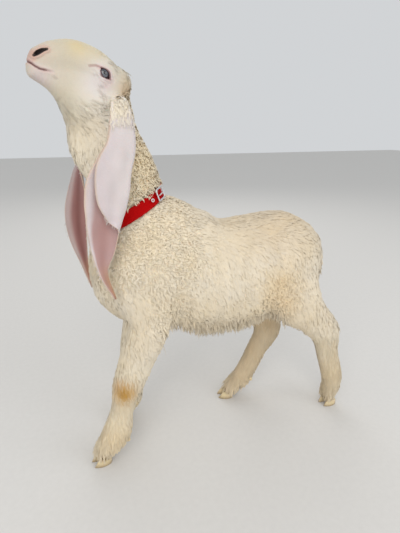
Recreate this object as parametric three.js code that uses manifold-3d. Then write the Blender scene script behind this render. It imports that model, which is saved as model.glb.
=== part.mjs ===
// A long-eared lamb standing with its head raised, as a still, life-size model.
// Millimetres, +Z up. The lamb faces -X, its left side is -Y, and its soles stand on z = 0.
//
// The body is one rounded form, written as a signed distance: limbs swept through a few stations and
// blended into each other. Head, neck, shanks and tail are lofted over that form along their own curves;
// the torso is meshed by a surface net and parted along flat cuts.
// Ears, claws, dewclaws, eyes and collar are solids of their own.
import * as THREE from 'three';
import { mergeVertices } from 'three/addons/utils/BufferGeometryUtils.js';
import Module from 'manifold-3d';

const wasm = await Module();
wasm.setup();

// ---------------------------------------------------------------- driving dimensions

const GAP = 0.5; // clearance between neighbouring solids

// The trunk runs along X. Each station is: x, z of the centre, half height, half width.
const TRUNK = [
  [106.5, 389, 60, 48],
  [140, 374.5, 101, 70],
  [195, 390.5, 106.5, 80],
  [265, 357, 122, 86],
  [345, 358.5, 119.5, 90],
  [420, 389, 94, 87],
  [449, 397.5, 73.5, 76],
];

// The neck rises from the chest to the throat. Each station is: x, z, half depth, half width.
const NECK = [
  [154.5, 425, 103, 66],
  [115, 490, 70, 58],
  [111, 560, 61, 51],
  [81.5, 620, 61.5, 46],
  [64, 664, 46.5, 42],
];

// Fore and hind legs as joint positions [x, y, z]; the girths are shared by left and right.
const LEGS = {
  fore_left: {
    kind: 'fore',
    shoulder: [127, -48, 385],
    elbow: [134, -56, 296.5],
    knee: [84.5, -60, 174],
    fetlock: [52.5, -62, 64.5],
    coronet: [26, -58, 27],
    toe: [1, -65],
  },
  fore_right: {
    kind: 'fore',
    shoulder: [132, 48, 385],
    elbow: [144.5, 56, 299],
    knee: [116, 58, 175.5],
    fetlock: [100, 58, 61.5],
    coronet: [77, 55, 26],
    toe: [53, 60],
  },
  hind_left: {
    kind: 'hind',
    hip: [429.5, -44, 388],
    stifle: [451, -56, 302.5],
    hock: [532.5, -58, 210],
    fetlock: [574, -53, 66.5],
    coronet: [568, -51, 29],
    toe: [551, -54],
  },
  hind_right: {
    kind: 'hind',
    hip: [455, 44, 392],
    stifle: [423, 52, 295.5],
    hock: [448, 54, 173],
    fetlock: [388, 56, 55],
    coronet: [352, 56, 24.5],
    toe: [321, 60],
  },
};

// Half depth and half width of the coat's outline at each joint.
const FORE_GIRTH = {
  shoulder: [62, 34],
  elbow: [41, 32],
  forearm: [36.5, 27],
  knee: [32.5, 25],
  cannon: [24.5, 21],
  fetlock: [31, 24],
  coronet: [21.5, 23],
};
const HIND_GIRTH = {
  hip: [69, 42],
  stifle: [59, 36],
  gaskin: [41, 29],
  hock: [36, 25],
  cannon: [27.5, 20],
  fetlock: [26.5, 23],
  coronet: [17.5, 22],
};

// The tail hangs from the rump: x, z, half depth, half width.
const TAIL = [
  [488, 434, 22, 24],
  [513, 414, 18, 22],
  [529, 386, 14, 19],
  [535, 352, 12, 16],
  [535, 327, 9, 12],
];

// The head is drawn in its own frame: x back from the nose tip, y across, z up, then posed.
const HEAD_POSE = { at: [-30, -38, 741], yaw: 15, lift: 15, roll: 0 };
// x, z, half depth, half width
const SKULL = [
  [19, 10, 16.5, 18],
  [38, 16.5, 24.5, 23],
  [66, 23, 30.5, 26],
  [96, 20.5, 32.5, 34],
  [122, 8.5, 33, 41],
  [135, 8.5, 30.5, 41],
];
const JAW = [
  [15.5, -9, 13.5, 15],
  [44, -12.5, 20, 20],
  [78, -21, 30.5, 30],
  [112, -22.5, 37, 37],
  [138, -25.5, 32.5, 38],
];
// The eyeball, and the almond its lids leave open: half length, half height, and slope down to the back.
const EYE = { at: [106.5, 30, 13], radius: 11.5, slit: [10.8, 6.4], slope: 38 };
const BROW = { at: [108, 29, 16], radius: 15.5 };

// The closed lips from the middle of the muzzle back to the corner (x, z), and the groove between them.
const LIPS = {
  line: [
    [1, 1],
    [5, -2],
    [11.5, -5.5],
    [18.5, -7.5],
    [28, -7.5],
    [38, -8],
  ],
  depth: 3,
  gap: 1.6,
};

// The nostril rises backwards as a comma. Each station is: x, z, half height.
const NOSTRIL = {
  stations: [
    [7.5, 7.5, 1.5],
    [9, 9.5, 3.2],
    [12.5, 13.5, 3.8],
    [17.5, 18, 2.8],
    [23, 21.5, 1.2],
  ],
  depth: 5,
};

// The collar's plane slants down from the nape to the throat.
const COLLAR = {
  nape: [172, 0, 540],
  slant: 28,
  width: 22,
  thickness: 2.4,
  off: 1,
  groove: 5,
  spread: 13,
  around: 30,
};

// Everything of the trunk lies above this height; what the torso's net has below it are legs.
const BELLY = 228;

// Cell size of the torso's net.
const CELL = [32, 24, 25];

// The cut between head and neck, and the curve the neck's sections are cast from.
const THROAT = {
  at: new THREE.Vector3(76, 0, 652),
  normal: new THREE.Vector3(-0.16, 0.05, 1).normalize(),
};
const NECK_AXIS = [
  [110, 0, 507],
  [106, 0, 560],
  [88, 0, 610],
  [76, 0, 652],
];

// Sections of the head in its own frame: upright ones along the muzzle, then a fan about a pivot
// under the throat.
const MUZZLE_SECTIONS = [5, 9, 14, 21, 29, 38, 48];
const FAN = { pivot: [60, -88], start: 86, end: 79, steps: 9 };

// ---------------------------------------------------------------- the body as a signed distance

const rad = THREE.MathUtils.degToRad;
const lerp = THREE.MathUtils.lerp;

// Union of two distances with a fillet about `k` wide.
function blend(a, b, k) {
  const h = Math.max(k - Math.abs(a - b), 0) / k;
  return Math.min(a, b) - (h * h * k) / 4;
}

// A smooth curve through points [x, y, z].
function curve(points) {
  const through = points.map((p) => new THREE.Vector3(...p));
  return new THREE.CatmullRomCurve3(through, false, 'centripetal');
}

// A form swept through stations [x, y, z, depth, width]: elliptical across, round at both ends.
function limb(stations, steps = 5) {
  const path = curve(stations.map(([x, y, z]) => [x, y, z]));
  const girth = curve(stations.map(([, , , depth, width]) => [depth, width, 0]));
  const count = (stations.length - 1) * steps;
  const rings = Array.from({ length: count + 1 }, (_, i) => {
    const at = path.getPoint(i / count);
    const size = girth.getPoint(i / count);
    return [at.x, at.y, at.z, size.x, size.y];
  });
  return (x, y, z) => {
    let best = Infinity;
    for (let i = 0; i < count; i++) {
      const a = rings[i];
      const b = rings[i + 1];
      const dx = b[0] - a[0];
      const dy = b[1] - a[1];
      const dz = b[2] - a[2];
      const length2 = dx * dx + dy * dy + dz * dz;
      const along = ((x - a[0]) * dx + (y - a[1]) * dy + (z - a[2]) * dz) / length2;
      const t = Math.min(Math.max(along, 0), 1);
      const ex = x - a[0] - t * dx;
      const ey = y - a[1] - t * dy;
      const ez = z - a[2] - t * dz;
      const depth = lerp(a[3], b[3], t);
      const width = lerp(a[4], b[4], t);
      const reach = Math.hypot(ex, ey, ez);
      const share = Math.hypot(Math.hypot(ex, ez) / depth, ey / width);
      const d = share > 1e-6 ? reach * (1 - 1 / share) : -Math.min(depth, width);
      if (d < best) best = d;
    }
    return best;
  };
}

const inMidPlane = (stations) => stations.map(([x, z, depth, width]) => [x, 0, z, depth, width]);
const station = (at, girth) => [...at, ...girth];
const between = (a, b, t) => a.map((v, i) => lerp(v, b[i], t));

function legLimb(leg) {
  if (leg.kind === 'fore') {
    return limb([
      station(leg.shoulder, FORE_GIRTH.shoulder),
      station(leg.elbow, FORE_GIRTH.elbow),
      station(between(leg.elbow, leg.knee, 0.5), FORE_GIRTH.forearm),
      station(leg.knee, FORE_GIRTH.knee),
      station(between(leg.knee, leg.fetlock, 0.5), FORE_GIRTH.cannon),
      station(leg.fetlock, FORE_GIRTH.fetlock),
      station(leg.coronet, FORE_GIRTH.coronet),
    ]);
  }
  return limb([
    station(leg.hip, HIND_GIRTH.hip),
    station(leg.stifle, HIND_GIRTH.stifle),
    station(between(leg.stifle, leg.hock, 0.5), HIND_GIRTH.gaskin),
    station(leg.hock, HIND_GIRTH.hock),
    station(between(leg.hock, leg.fetlock, 0.45), HIND_GIRTH.cannon),
    station(leg.fetlock, HIND_GIRTH.fetlock),
    station(leg.coronet, HIND_GIRTH.coronet),
  ]);
}

// Head frame to body frame, and back.
const headPose = new THREE.Matrix4()
  .makeTranslation(...HEAD_POSE.at)
  .multiply(new THREE.Matrix4().makeRotationZ(rad(HEAD_POSE.yaw)))
  .multiply(new THREE.Matrix4().makeRotationY(rad(HEAD_POSE.lift)))
  .multiply(new THREE.Matrix4().makeRotationX(rad(HEAD_POSE.roll)));
const toHead = headPose.clone().invert();
const posed = ([x, y, z]) => new THREE.Vector3(x, y, z).applyMatrix4(headPose);

const skull = limb(inMidPlane(SKULL));
const jaw = limb(inMidPlane(JAW));

function headForm(point) {
  const { x, y, z } = point.clone().applyMatrix4(toHead);
  const across = Math.abs(y);
  const brow = Math.hypot(x - BROW.at[0], across - BROW.at[1], z - BROW.at[2]) - BROW.radius;
  return blend(blend(skull(x, y, z), jaw(x, y, z), 14), brow, 18);
}

// Signed distance across the collar's plane, positive towards the head.
const collarUp = new THREE.Vector3(-Math.sin(rad(COLLAR.slant)), 0, Math.cos(rad(COLLAR.slant)));
const collarNape = new THREE.Vector3(...COLLAR.nape);
const aboveCollar = (point) => point.clone().sub(collarNape).dot(collarUp);

const trunk = limb(inMidPlane(TRUNK));
const neck = limb(inMidPlane(NECK));
const tail = limb(inMidPlane(TAIL));
const legForms = Object.values(LEGS).map(legLimb);

function bodyForm(x, y, z) {
  const point = new THREE.Vector3(x, y, z);
  let d = blend(trunk(x, y, z), neck(x, y, z), 60);
  for (const leg of legForms) {
    d = blend(d, leg(x, y, z), 22);
  }
  d = blend(d, headForm(point), 34);
  const offCollar = aboveCollar(point) / COLLAR.spread;
  return d + COLLAR.groove * Math.exp(-offCollar * offCollar);
}

// ---------------------------------------------------------------- meshing

// Closed surface of a signed distance inside a box, one vertex in each cell that it crosses.
function surfaceNet(form, low, high, cell) {
  const n = low.map((v, i) => Math.ceil((high[i] - v) / cell[i]) + 1);
  const at = (i, j, k) => (i * n[1] + j) * n[2] + k;
  const values = new Float64Array(n[0] * n[1] * n[2]);
  for (let i = 0; i < n[0]; i++)
    for (let j = 0; j < n[1]; j++)
      for (let k = 0; k < n[2]; k++) {
        const edge = [i, j, k].some((v, a) => v === 0 || v === n[a] - 1);
        const d = form(low[0] + i * cell[0], low[1] + j * cell[1], low[2] + k * cell[2]);
        values[at(i, j, k)] = edge ? Math.max(d, cell[0] / 4) : d;
      }
  const corners = Array.from({ length: 8 }, (_, c) => [c & 1, (c >> 1) & 1, (c >> 2) & 1]);
  const span = (i, j) => corners[i].reduce((sum, v, a) => sum + Math.abs(v - corners[j][a]), 0);
  const edges = corners
    .flatMap((_, i) => corners.map((__, j) => [i, j]))
    .filter(([i, j]) => i < j && span(i, j) === 1);
  const vertexOf = new Map();
  const positions = [];
  for (let i = 0; i < n[0] - 1; i++)
    for (let j = 0; j < n[1] - 1; j++)
      for (let k = 0; k < n[2] - 1; k++) {
        const v = corners.map(([a, b, c]) => values[at(i + a, j + b, k + c)]);
        let crossings = 0;
        const sum = [0, 0, 0];
        for (const [p, q] of edges) {
          if (v[p] < 0 === v[q] < 0) continue;
          const t = v[p] / (v[p] - v[q]);
          crossings++;
          for (let a = 0; a < 3; a++) sum[a] += lerp(corners[p][a], corners[q][a], t);
        }
        if (!crossings) continue;
        vertexOf.set(at(i, j, k), positions.length / 3);
        positions.push(...[i, j, k].map((v0, a) => low[a] + (v0 + sum[a] / crossings) * cell[a]));
      }
  const faces = [];
  const steps = [[1, 0, 0], [0, 1, 0], [0, 0, 1]];
  for (let i = 0; i < n[0] - 1; i++)
    for (let j = 0; j < n[1] - 1; j++)
      for (let k = 0; k < n[2] - 1; k++)
        steps.forEach((step, a) => {
          if ([i, j, k].some((v, other) => other !== a && v === 0)) return;
          const here = values[at(i, j, k)] < 0;
          const there = values[at(i + step[0], j + step[1], k + step[2])] < 0;
          if (here === there) return;
          const u = steps[(a + 1) % 3];
          const w = steps[(a + 2) % 3];
          const cellAt = (p, q) => {
            const back = [0, 1, 2].map((b) => p * u[b] + q * w[b]);
            return vertexOf.get(at(i - back[0], j - back[1], k - back[2]));
          };
          const quad = [cellAt(0, 0), cellAt(1, 0), cellAt(1, 1), cellAt(0, 1)];
          if (!here) quad.reverse();
          faces.push(quad[0], quad[1], quad[2], quad[0], quad[2], quad[3]);
        });
  return settled(form, positions, faces);
}

// How fast a form's distance grows along each axis at a point.
function slopeOf(form, { x, y, z }, step) {
  const d = form(x, y, z);
  const rise = new THREE.Vector3(form(x + step, y, z), form(x, y + step, z), form(x, y, z + step));
  return rise.subScalar(d).divideScalar(step);
}

// Moves the net's vertices onto the surface, along the form's own slope.
function settled(form, positions, faces) {
  const step = 0.5;
  for (let i = 0; i < positions.length; i += 3)
    for (let round = 0; round < 2; round++) {
      const [x, y, z] = positions.slice(i, i + 3);
      const d = form(x, y, z);
      const slope = slopeOf(form, new THREE.Vector3(x, y, z), step);
      const move = THREE.MathUtils.clamp(d / Math.max(slope.lengthSq(), 0.25), -4, 4);
      positions[i] -= slope.x * move;
      positions[i + 1] -= slope.y * move;
      positions[i + 2] -= slope.z * move;
    }
  return new THREE.BufferGeometry()
    .setAttribute('position', new THREE.Float32BufferAttribute(positions, 3))
    .setIndex(faces);
}

// The point where the surface is met from `start`, inside it, going along `way` for at most `far`.
function cast(form, start, way, far) {
  let low = 0;
  let high = far;
  for (let round = 0; round < 22; round++) {
    const middle = (low + high) / 2;
    const p = start.clone().addScaledVector(way, middle);
    if (form(p.x, p.y, p.z) < 0) low = middle;
    else high = middle;
  }
  return start.clone().addScaledVector(way, low);
}

// The closed solid through sections { at, along, side }: each is cast from `at` out to the surface,
// square to `along`.
function sleeve(form, sections, around, far, tips = []) {
  const rings = sections.map(({ at, along, side }) => {
    const first = side.clone().projectOnPlane(along).normalize();
    const second = along.clone().cross(first).normalize();
    return Array.from({ length: around }, (_, i) => {
      const angle = (2 * Math.PI * i) / around;
      const way = first.clone().multiplyScalar(Math.cos(angle)).addScaledVector(second, Math.sin(angle));
      return cast(form, at, way, far);
    });
  });
  return solid(loft(rings, false, tips));
}

// Closed solid through rings of points, capped at both ends or joined end to end; a tip raises its cap.
function loft(rings, joined = false, tips = []) {
  const around = rings[0].length;
  const positions = rings.flat().flatMap((p) => [p.x, p.y, p.z]);
  const faces = [];
  const bands = joined ? rings.length : rings.length - 1;
  for (let i = 0; i < bands; i++)
    for (let j = 0; j < around; j++) {
      const a = i * around + j;
      const b = i * around + ((j + 1) % around);
      const c = ((i + 1) % rings.length) * around + ((j + 1) % around);
      const d = ((i + 1) % rings.length) * around + j;
      faces.push(a, b, c, a, c, d);
    }
  if (!joined)
    for (const [ring, flip] of [[0, true], [rings.length - 1, false]]) {
      const flat = rings[ring].reduce((sum, p) => sum.add(p), new THREE.Vector3()).divideScalar(around);
      const centre = tips[ring ? 1 : 0] ?? flat;
      positions.push(centre.x, centre.y, centre.z);
      const middle = positions.length / 3 - 1;
      for (let j = 0; j < around; j++) {
        const a = ring * around + j;
        const b = ring * around + ((j + 1) % around);
        faces.push(...(flip ? [middle, b, a] : [middle, a, b]));
      }
    }
  return new THREE.BufferGeometry()
    .setAttribute('position', new THREE.Float32BufferAttribute(positions, 3))
    .setIndex(faces);
}

function solid(geometry) {
  const bare = geometry.clone();
  bare.deleteAttribute('normal');
  bare.deleteAttribute('uv');
  const merged = mergeVertices(bare, 1e-4);
  const made = new wasm.Manifold(
    new wasm.Mesh({
      numProp: 3,
      vertProperties: new Float32Array(merged.attributes.position.array),
      triVerts: new Uint32Array(merged.index.array),
    }),
  );
  if (made.volume() > 0) return made;
  const index = Array.from(merged.index.array);
  for (let i = 0; i < index.length; i += 3) [index[i], index[i + 1]] = [index[i + 1], index[i]];
  merged.setIndex(index);
  return new wasm.Manifold(
    new wasm.Mesh({
      numProp: 3,
      vertProperties: new Float32Array(merged.attributes.position.array),
      triVerts: new Uint32Array(merged.index.array),
    }),
  );
}

function geometryOf(manifold) {
  const mesh = manifold.getMesh();
  const position = new THREE.BufferAttribute(new Float32Array(mesh.vertProperties), mesh.numProp);
  return new THREE.BufferGeometry()
    .setAttribute('position', position)
    .setIndex(new THREE.BufferAttribute(new Uint32Array(mesh.triVerts), 1));
}

// ---------------------------------------------------------------- sheep

const sheep = new THREE.Group();
const FINISHES = {
  fleece: new THREE.MeshStandardMaterial({ color: 0xe6dcc4, roughness: 0.95, metalness: 0 }),
  face: new THREE.MeshStandardMaterial({ color: 0xe9ddcb, roughness: 0.85, metalness: 0 }),
  shank: new THREE.MeshStandardMaterial({ color: 0xe8dcc9, roughness: 0.9, metalness: 0 }),
  ear: new THREE.MeshStandardMaterial({ color: 0xe3c9c6, roughness: 0.75, metalness: 0 }),
  horn: new THREE.MeshStandardMaterial({ color: 0xc9ae74, roughness: 0.55, metalness: 0 }),
  eye: new THREE.MeshStandardMaterial({ color: 0x4a4e58, roughness: 0.08, metalness: 0 }),
  strap: new THREE.MeshStandardMaterial({ color: 0xb90f12, roughness: 0.6, metalness: 0 }),
  steel: new THREE.MeshStandardMaterial({ color: 0xc4c6c8, roughness: 0.25, metalness: 1 }),
};

function addNode(name, manifold, finish) {
  const mesh = new THREE.Mesh(geometryOf(manifold), FINISHES[finish]);
  mesh.name = name;
  sheep.add(mesh);
}

// A box from -x to 0 in its own frame: the half space behind a flat cut, big enough for the lamb.
const HUGE = 1500;
function halfSpace(at, normal) {
  const box = new THREE.BoxGeometry(HUGE, HUGE, HUGE);
  box.translate(0, 0, -HUGE / 2);
  const outward = normal.clone().normalize();
  box.applyQuaternion(new THREE.Quaternion().setFromUnitVectors(new THREE.Vector3(0, 0, 1), outward));
  box.translate(...at.clone().addScaledVector(outward, -GAP / 2).toArray());
  return solid(box);
}

// Keeps the part of `whole` behind a cut: the normal points at the part that goes.
const keepBehind = (whole, at, normal) => whole.intersect(halfSpace(at, normal));

// A box along the line from a to b, `reach` [depth, width] to each side, longer than the line by
// `over` at each end.
function boxAlong(a, b, reach, over, grow = 0) {
  const from = new THREE.Vector3(...a);
  const to = new THREE.Vector3(...b);
  const axis = to.clone().sub(from);
  const length = axis.length();
  const [depth, width] = reach.map((v) => 2 * (v + grow));
  const box = new THREE.BoxGeometry(depth, width, length + over[0] + over[1] + 2 * grow);
  box.translate(0, 0, length / 2 + (over[1] - over[0]) / 2);
  const zAxis = axis.normalize();
  const yAxis = new THREE.Vector3(0, 1, 0).addScaledVector(zAxis, -zAxis.y).normalize();
  const xAxis = yAxis.clone().cross(zAxis);
  box.applyMatrix4(new THREE.Matrix4().makeBasis(xAxis, yAxis, zAxis).setPosition(from));
  return solid(box);
}

// ---- ears

const EAR = { thickness: 3, across: 5, over: 5, rings: 15 };

// Each station is: x, y, z, half width, how far the margin folds over (0 to 1), and where the opening
// faces (degrees from -Y towards -X).
const EARS = {
  ear_left: {
    base: [136, -40, -15],
    stations: [
      [100, -61, 680, 13, 0.85, 8],
      [98, -73, 654, 18.5, 0.9, 0],
      [93, -79, 620, 23, 0.95, -4],
      [80, -82, 590, 28.5, 0.95, -2],
      [70, -83, 562, 34, 0.95, 2],
      [64, -84, 532, 32.5, 0.84, 6],
      [60, -85, 510, 28.5, 0.5, 8],
      [57, -86, 491, 25, 0.2, 10],
      [55, -87, 460, 20.5, 0, 12],
      [52, -89, 421, 8, 0, 10],
      [69, -87, 368, 2, 0, 8],
    ],
  },
  ear_right: {
    base: [136, 40, -15],
    stations: [
      [80, 57, 684, 13, 0.8, 165],
      [66, 64, 650, 18, 0.8, 140],
      [50, 66, 614, 22, 0.7, 110],
      [36, 64, 572, 26, 0.45, 80],
      [28, 60, 529, 29, 0.25, 62],
      [22, 56, 489, 27, 0.1, 50],
      [23, 49, 445, 20, 0, 42],
      [29, 38, 402, 9, 0, 40],
      [39, 23, 352, 2, 0, 40],
    ],
  },
};

// The folded leaf's section from the front margin round the fold to the rear margin, in (across, out).
function leafSection(width, fold, points) {
  const radius = lerp(1.2, 4.6, Math.min(fold * 2, 1)) * Math.min(width / 12, 1) + EAR.thickness / 2;
  const flap = fold * 1.8 * width;
  const hinge = width - radius;
  const back = width + hinge;
  const turn = Math.PI * radius * (0.25 + 0.75 * Math.min(fold * 3, 1));
  const total = back + turn + flap;
  const place = (s) => {
    if (s < back) {
      const a = s / back;
      return [-width + s, radius * 1.6 * (1 - a) ** 2];
    }
    if (s < back + turn) {
      const angle = (s - back) / radius;
      return [hinge + radius * Math.sin(angle), radius * (1 - Math.cos(angle))];
    }
    const end = turn / radius;
    return [
      hinge + radius * Math.sin(end) + Math.cos(end) * (s - back - turn),
      radius * (1 - Math.cos(end)) + Math.sin(end) * (s - back - turn),
    ];
  };
  return Array.from({ length: points }, (_, i) => place((total * i) / (points - 1)));
}

function earSolid({ base, stations }, grow) {
  const root = posed(base);
  const sunk = posed([base[0] - 6, base[1] * 0.45, base[2] + 4]);
  const first = stations[0];
  const all = [[...sunk.toArray(), 8, 0.3, first[5]], [...root.toArray(), 9, 0.4, first[5]], ...stations];
  const path = curve(all.map(([x, y, z]) => [x, y, z]));
  const foldScale = 40;
  const shape = curve(all.map(([, , , width, fold, facing]) => [width, fold * foldScale, facing]));
  const count = EAR.rings;
  const half = EAR.thickness / 2 + grow;
  const rings = [];
  for (let i = 0; i <= count; i++) {
    const t = i / count;
    const at = path.getPoint(t);
    const along = path.getTangent(t);
    const size = shape.getPoint(t);
    const facing = rad(size.z);
    const out = new THREE.Vector3(-Math.sin(facing), -Math.cos(facing), 0);
    out.addScaledVector(along, -out.dot(along)).normalize();
    const across = along.clone().cross(out).negate().normalize();
    const fold = THREE.MathUtils.clamp(size.y / foldScale, 0, 1);
    const points = leafSection(size.x, fold, EAR.across + EAR.over).map(([a, o]) => {
      const p = at.clone().addScaledVector(across, a).addScaledVector(out, o);
      if (t > 0.16) pushClear(p, EAR.thickness / 2 + 1.5);
      return p;
    });
    rings.push(strip(points, along, half, grow));
  }
  const nose = rings[0].map((p) => p.clone().addScaledVector(path.getTangent(0), -grow));
  return solid(loft([nose, ...rings.slice(1)]));
}

// A closed section round a line of points, `half` thick to each side and `over` longer at both ends.
function strip(points, along, half, over) {
  const last = points.length - 1;
  points[0].addScaledVector(points[0].clone().sub(points[1]).normalize(), over);
  points[last].addScaledVector(points[last].clone().sub(points[last - 1]).normalize(), over);
  const sides = points.map((p, i) => {
    const before = points[Math.max(i - 1, 0)];
    const after = points[Math.min(i + 1, points.length - 1)];
    return after.clone().sub(before).cross(along).normalize().multiplyScalar(half);
  });
  const outer = points.map((p, i) => p.clone().add(sides[i]));
  const inner = points.map((p, i) => p.clone().sub(sides[i]));
  return [...outer, ...inner.reverse()];
}

// Moves a point out of the body until it is `margin` clear.
function pushClear(p, margin) {
  for (let round = 0; round < 3; round++) {
    const d = bodyForm(p.x, p.y, p.z);
    if (d >= margin) return;
    p.addScaledVector(slopeOf(bodyForm, p, 1).normalize(), margin - d);
  }
}

// ---- openings of the face, drawn in the head's frame

// An almond-shaped cutter in front of the eyeball.
function lidOpening(side) {
  const depth = 14;
  const almond = new THREE.SphereGeometry(1, 12, 8);
  almond.scale(EYE.slit[0], depth, EYE.slit[1]);
  almond.rotateY(rad(EYE.slope));
  almond.translate(EYE.at[0], side * (EYE.at[1] + depth), EYE.at[2]);
  almond.applyMatrix4(headPose);
  return solid(almond);
}

// A direction of the head's frame, in the body's.
const turned = ([x, y, z]) => posed([x, y, z]).sub(posed([0, 0, 0]));

// The head's surface beside a point of the head frame, found sideways from the middle, then moved in
// by `depth`.
function besideHead(x, z, side, depth) {
  const at = posed([x, 0, z]);
  const away = turned([0, side, 0]);
  return cast(bodyForm, at, away, 60).addScaledVector(away, -depth);
}

// A thin curved blade that sinks between the lips from one corner round the front to the other.
function lipGroove() {
  const up = turned([0, 0, 1]);
  const ahead = turned([-1, 0, 0]);
  const half = LIPS.gap / 2;
  const ring = (x, z, side) => {
    const front = x < 4;
    const inside = besideHead(x + (front ? LIPS.depth : 0), z, side, front ? 0 : LIPS.depth);
    const outside = besideHead(x, z, side, front ? 0 : -6);
    if (front) outside.addScaledVector(ahead, 8).addScaledVector(turned([0, side, 0]), 3);
    return [
      inside.clone().addScaledVector(up, -half),
      outside.clone().addScaledVector(up, -half),
      outside.clone().addScaledVector(up, half),
      inside.clone().addScaledVector(up, half),
    ];
  };
  const left = LIPS.line.slice(1).reverse().map(([x, z]) => ring(x, z, -1));
  const right = LIPS.line.slice(1).map(([x, z]) => ring(x, z, 1));
  const [frontX, frontZ] = LIPS.line[0];
  const middle = posed([frontX, 0, frontZ]);
  const front = [
    middle.clone().addScaledVector(ahead, -LIPS.depth).addScaledVector(up, -half),
    middle.clone().addScaledVector(ahead, 10).addScaledVector(up, -half),
    middle.clone().addScaledVector(ahead, 10).addScaledVector(up, half),
    middle.clone().addScaledVector(ahead, -LIPS.depth).addScaledVector(up, half),
  ];
  return solid(loft([...left, front, ...right]));
}

// The pocket of one nostril.
function nostril(side) {
  const rings = NOSTRIL.stations.map(([x, z, half], i) => {
    const deep = i === 0 || i === NOSTRIL.stations.length - 1 ? NOSTRIL.depth / 2 : NOSTRIL.depth;
    const floor = besideHead(x, z, side, deep);
    const mouth = besideHead(x, z, side, -5);
    const rise = turned([-0.7, 0, 0.7]).multiplyScalar(half);
    return [
      floor.clone().addScaledVector(rise, -0.5),
      mouth.clone().addScaledVector(rise, -1.2),
      mouth.clone().addScaledVector(rise, 1.2),
      floor.clone().addScaledVector(rise, 0.5),
    ];
  });
  return solid(loft(rings));
}

// ---- claws and dewclaws

const CLAW = {
  length: 37,
  width: 15.5,
  front: 20,
  heel: 12,
  toeSlope: 0.62,
  heelSlope: 0.12,
  apart: 17.5,
  splay: 5,
  around: 10,
};
const DEWCLAW = { radius: 5.5, length: 11, height: 46, apart: 0.5, sunk: 1.5 };

function footFrame(leg) {
  const toe = new THREE.Vector3(leg.toe[0], leg.toe[1], 0);
  const forward = toe.clone().sub(new THREE.Vector3(leg.coronet[0], leg.coronet[1], 0)).normalize();
  return { toe, forward, across: new THREE.Vector3(0, 0, 1).cross(forward) };
}

// The claws' upper rim slopes down to the heel: its height above the floor, `back` behind the toe.
const rimSlope = (CLAW.front - CLAW.heel) / CLAW.length;
const rimHeight = (back) => CLAW.front - rimSlope * back;

function clawSolid(leg, side) {
  const { toe, forward, across } = footFrame(leg);
  const turn = rad(-side * CLAW.splay);
  const ahead = forward.clone().applyAxisAngle(new THREE.Vector3(0, 0, 1), turn);
  const beside = across.clone().applyAxisAngle(new THREE.Vector3(0, 0, 1), turn);
  const levels = [[0, 1], [0.4, 1.02], [1, 0.88]];
  const rings = levels.map(([level, girth]) =>
    Array.from({ length: CLAW.around }, (_, j) => {
      const angle = (2 * Math.PI * j) / CLAW.around;
      const pointed = 1 - 0.42 * Math.max(Math.cos(angle), 0) ** 1.5;
      const front = -CLAW.toeSlope * level * CLAW.front;
      const rear = -CLAW.length + CLAW.heelSlope * level * CLAW.heel;
      const x = (front + rear) / 2 + ((front - rear) / 2) * Math.cos(angle);
      return toe.clone()
        .addScaledVector(across, (side * CLAW.apart) / 2)
        .addScaledVector(ahead, x)
        .addScaledVector(beside, (CLAW.width / 2) * girth * Math.sin(angle) * pointed)
        .setZ(level * rimHeight(-x));
    }),
  );
  return solid(loft(rings));
}

function dewclawSolid(leg, limbForm, side, grow) {
  const { forward, across } = footFrame(leg);
  const t = (DEWCLAW.height - leg.coronet[2]) / (leg.fetlock[2] - leg.coronet[2]);
  const axis = new THREE.Vector3(...between(leg.coronet, leg.fetlock, t));
  const way = forward.clone().negate().addScaledVector(across, side * DEWCLAW.apart).normalize();
  const at = cast(limbForm, axis, way, 60).addScaledVector(way, -DEWCLAW.sunk);
  const half = DEWCLAW.length / 2 + grow;
  const radius = DEWCLAW.radius + grow;
  const profile = [
    [0, -half],
    [0.7 * radius, -half * 0.7],
    [radius, half * 0.1],
    [0.8 * radius, half],
    [0, half],
  ];
  const cone = new THREE.LatheGeometry(profile.map((p) => new THREE.Vector2(...p)), 7);
  cone.rotateX(Math.PI / 2);
  const tilt = way.clone().multiplyScalar(-0.5).add(new THREE.Vector3(0, 0, 1)).normalize();
  cone.applyQuaternion(new THREE.Quaternion().setFromUnitVectors(new THREE.Vector3(0, 0, 1), tilt));
  cone.translate(at.x, at.y, at.z);
  return solid(cone);
}

// ---- the collar

const midSide = new THREE.Vector3(0, 1, 0);
const collarAlong = new THREE.Vector3(Math.cos(rad(COLLAR.slant)), 0, Math.sin(rad(COLLAR.slant)));
const collarCentre = collarNape.clone().addScaledVector(collarAlong, -70);

// The point where the body's surface meets a ray in the collar's plane, `height` above its middle.
function onCollar(angle, height, off) {
  const way = collarAlong.clone().multiplyScalar(Math.cos(angle)).addScaledVector(midSide, Math.sin(angle));
  const start = collarCentre.clone().addScaledVector(collarUp, height);
  return cast(bodyForm, start, way, 160).addScaledVector(way, off);
}

// A ring about the neck, from `inner` to `outer` off the body, wider than the strap by `over` at both edges.
function collarRing(inner, outer, over) {
  const half = COLLAR.width / 2;
  const corners = [[-1, inner], [-1, outer], [1, outer], [1, inner]];
  const rings = Array.from({ length: COLLAR.around }, (_, i) => {
    const angle = (2 * Math.PI * i) / COLLAR.around;
    return corners.map(([edge, off]) => {
      return onCollar(angle, edge * half, off).addScaledVector(collarUp, edge * over);
    });
  });
  return solid(loft(rings, true));
}

const collarBand = () => collarRing(COLLAR.off, COLLAR.off + COLLAR.thickness, 0);
const collarChannel = () => collarRing(COLLAR.off - GAP, COLLAR.off + 16, GAP);

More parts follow.
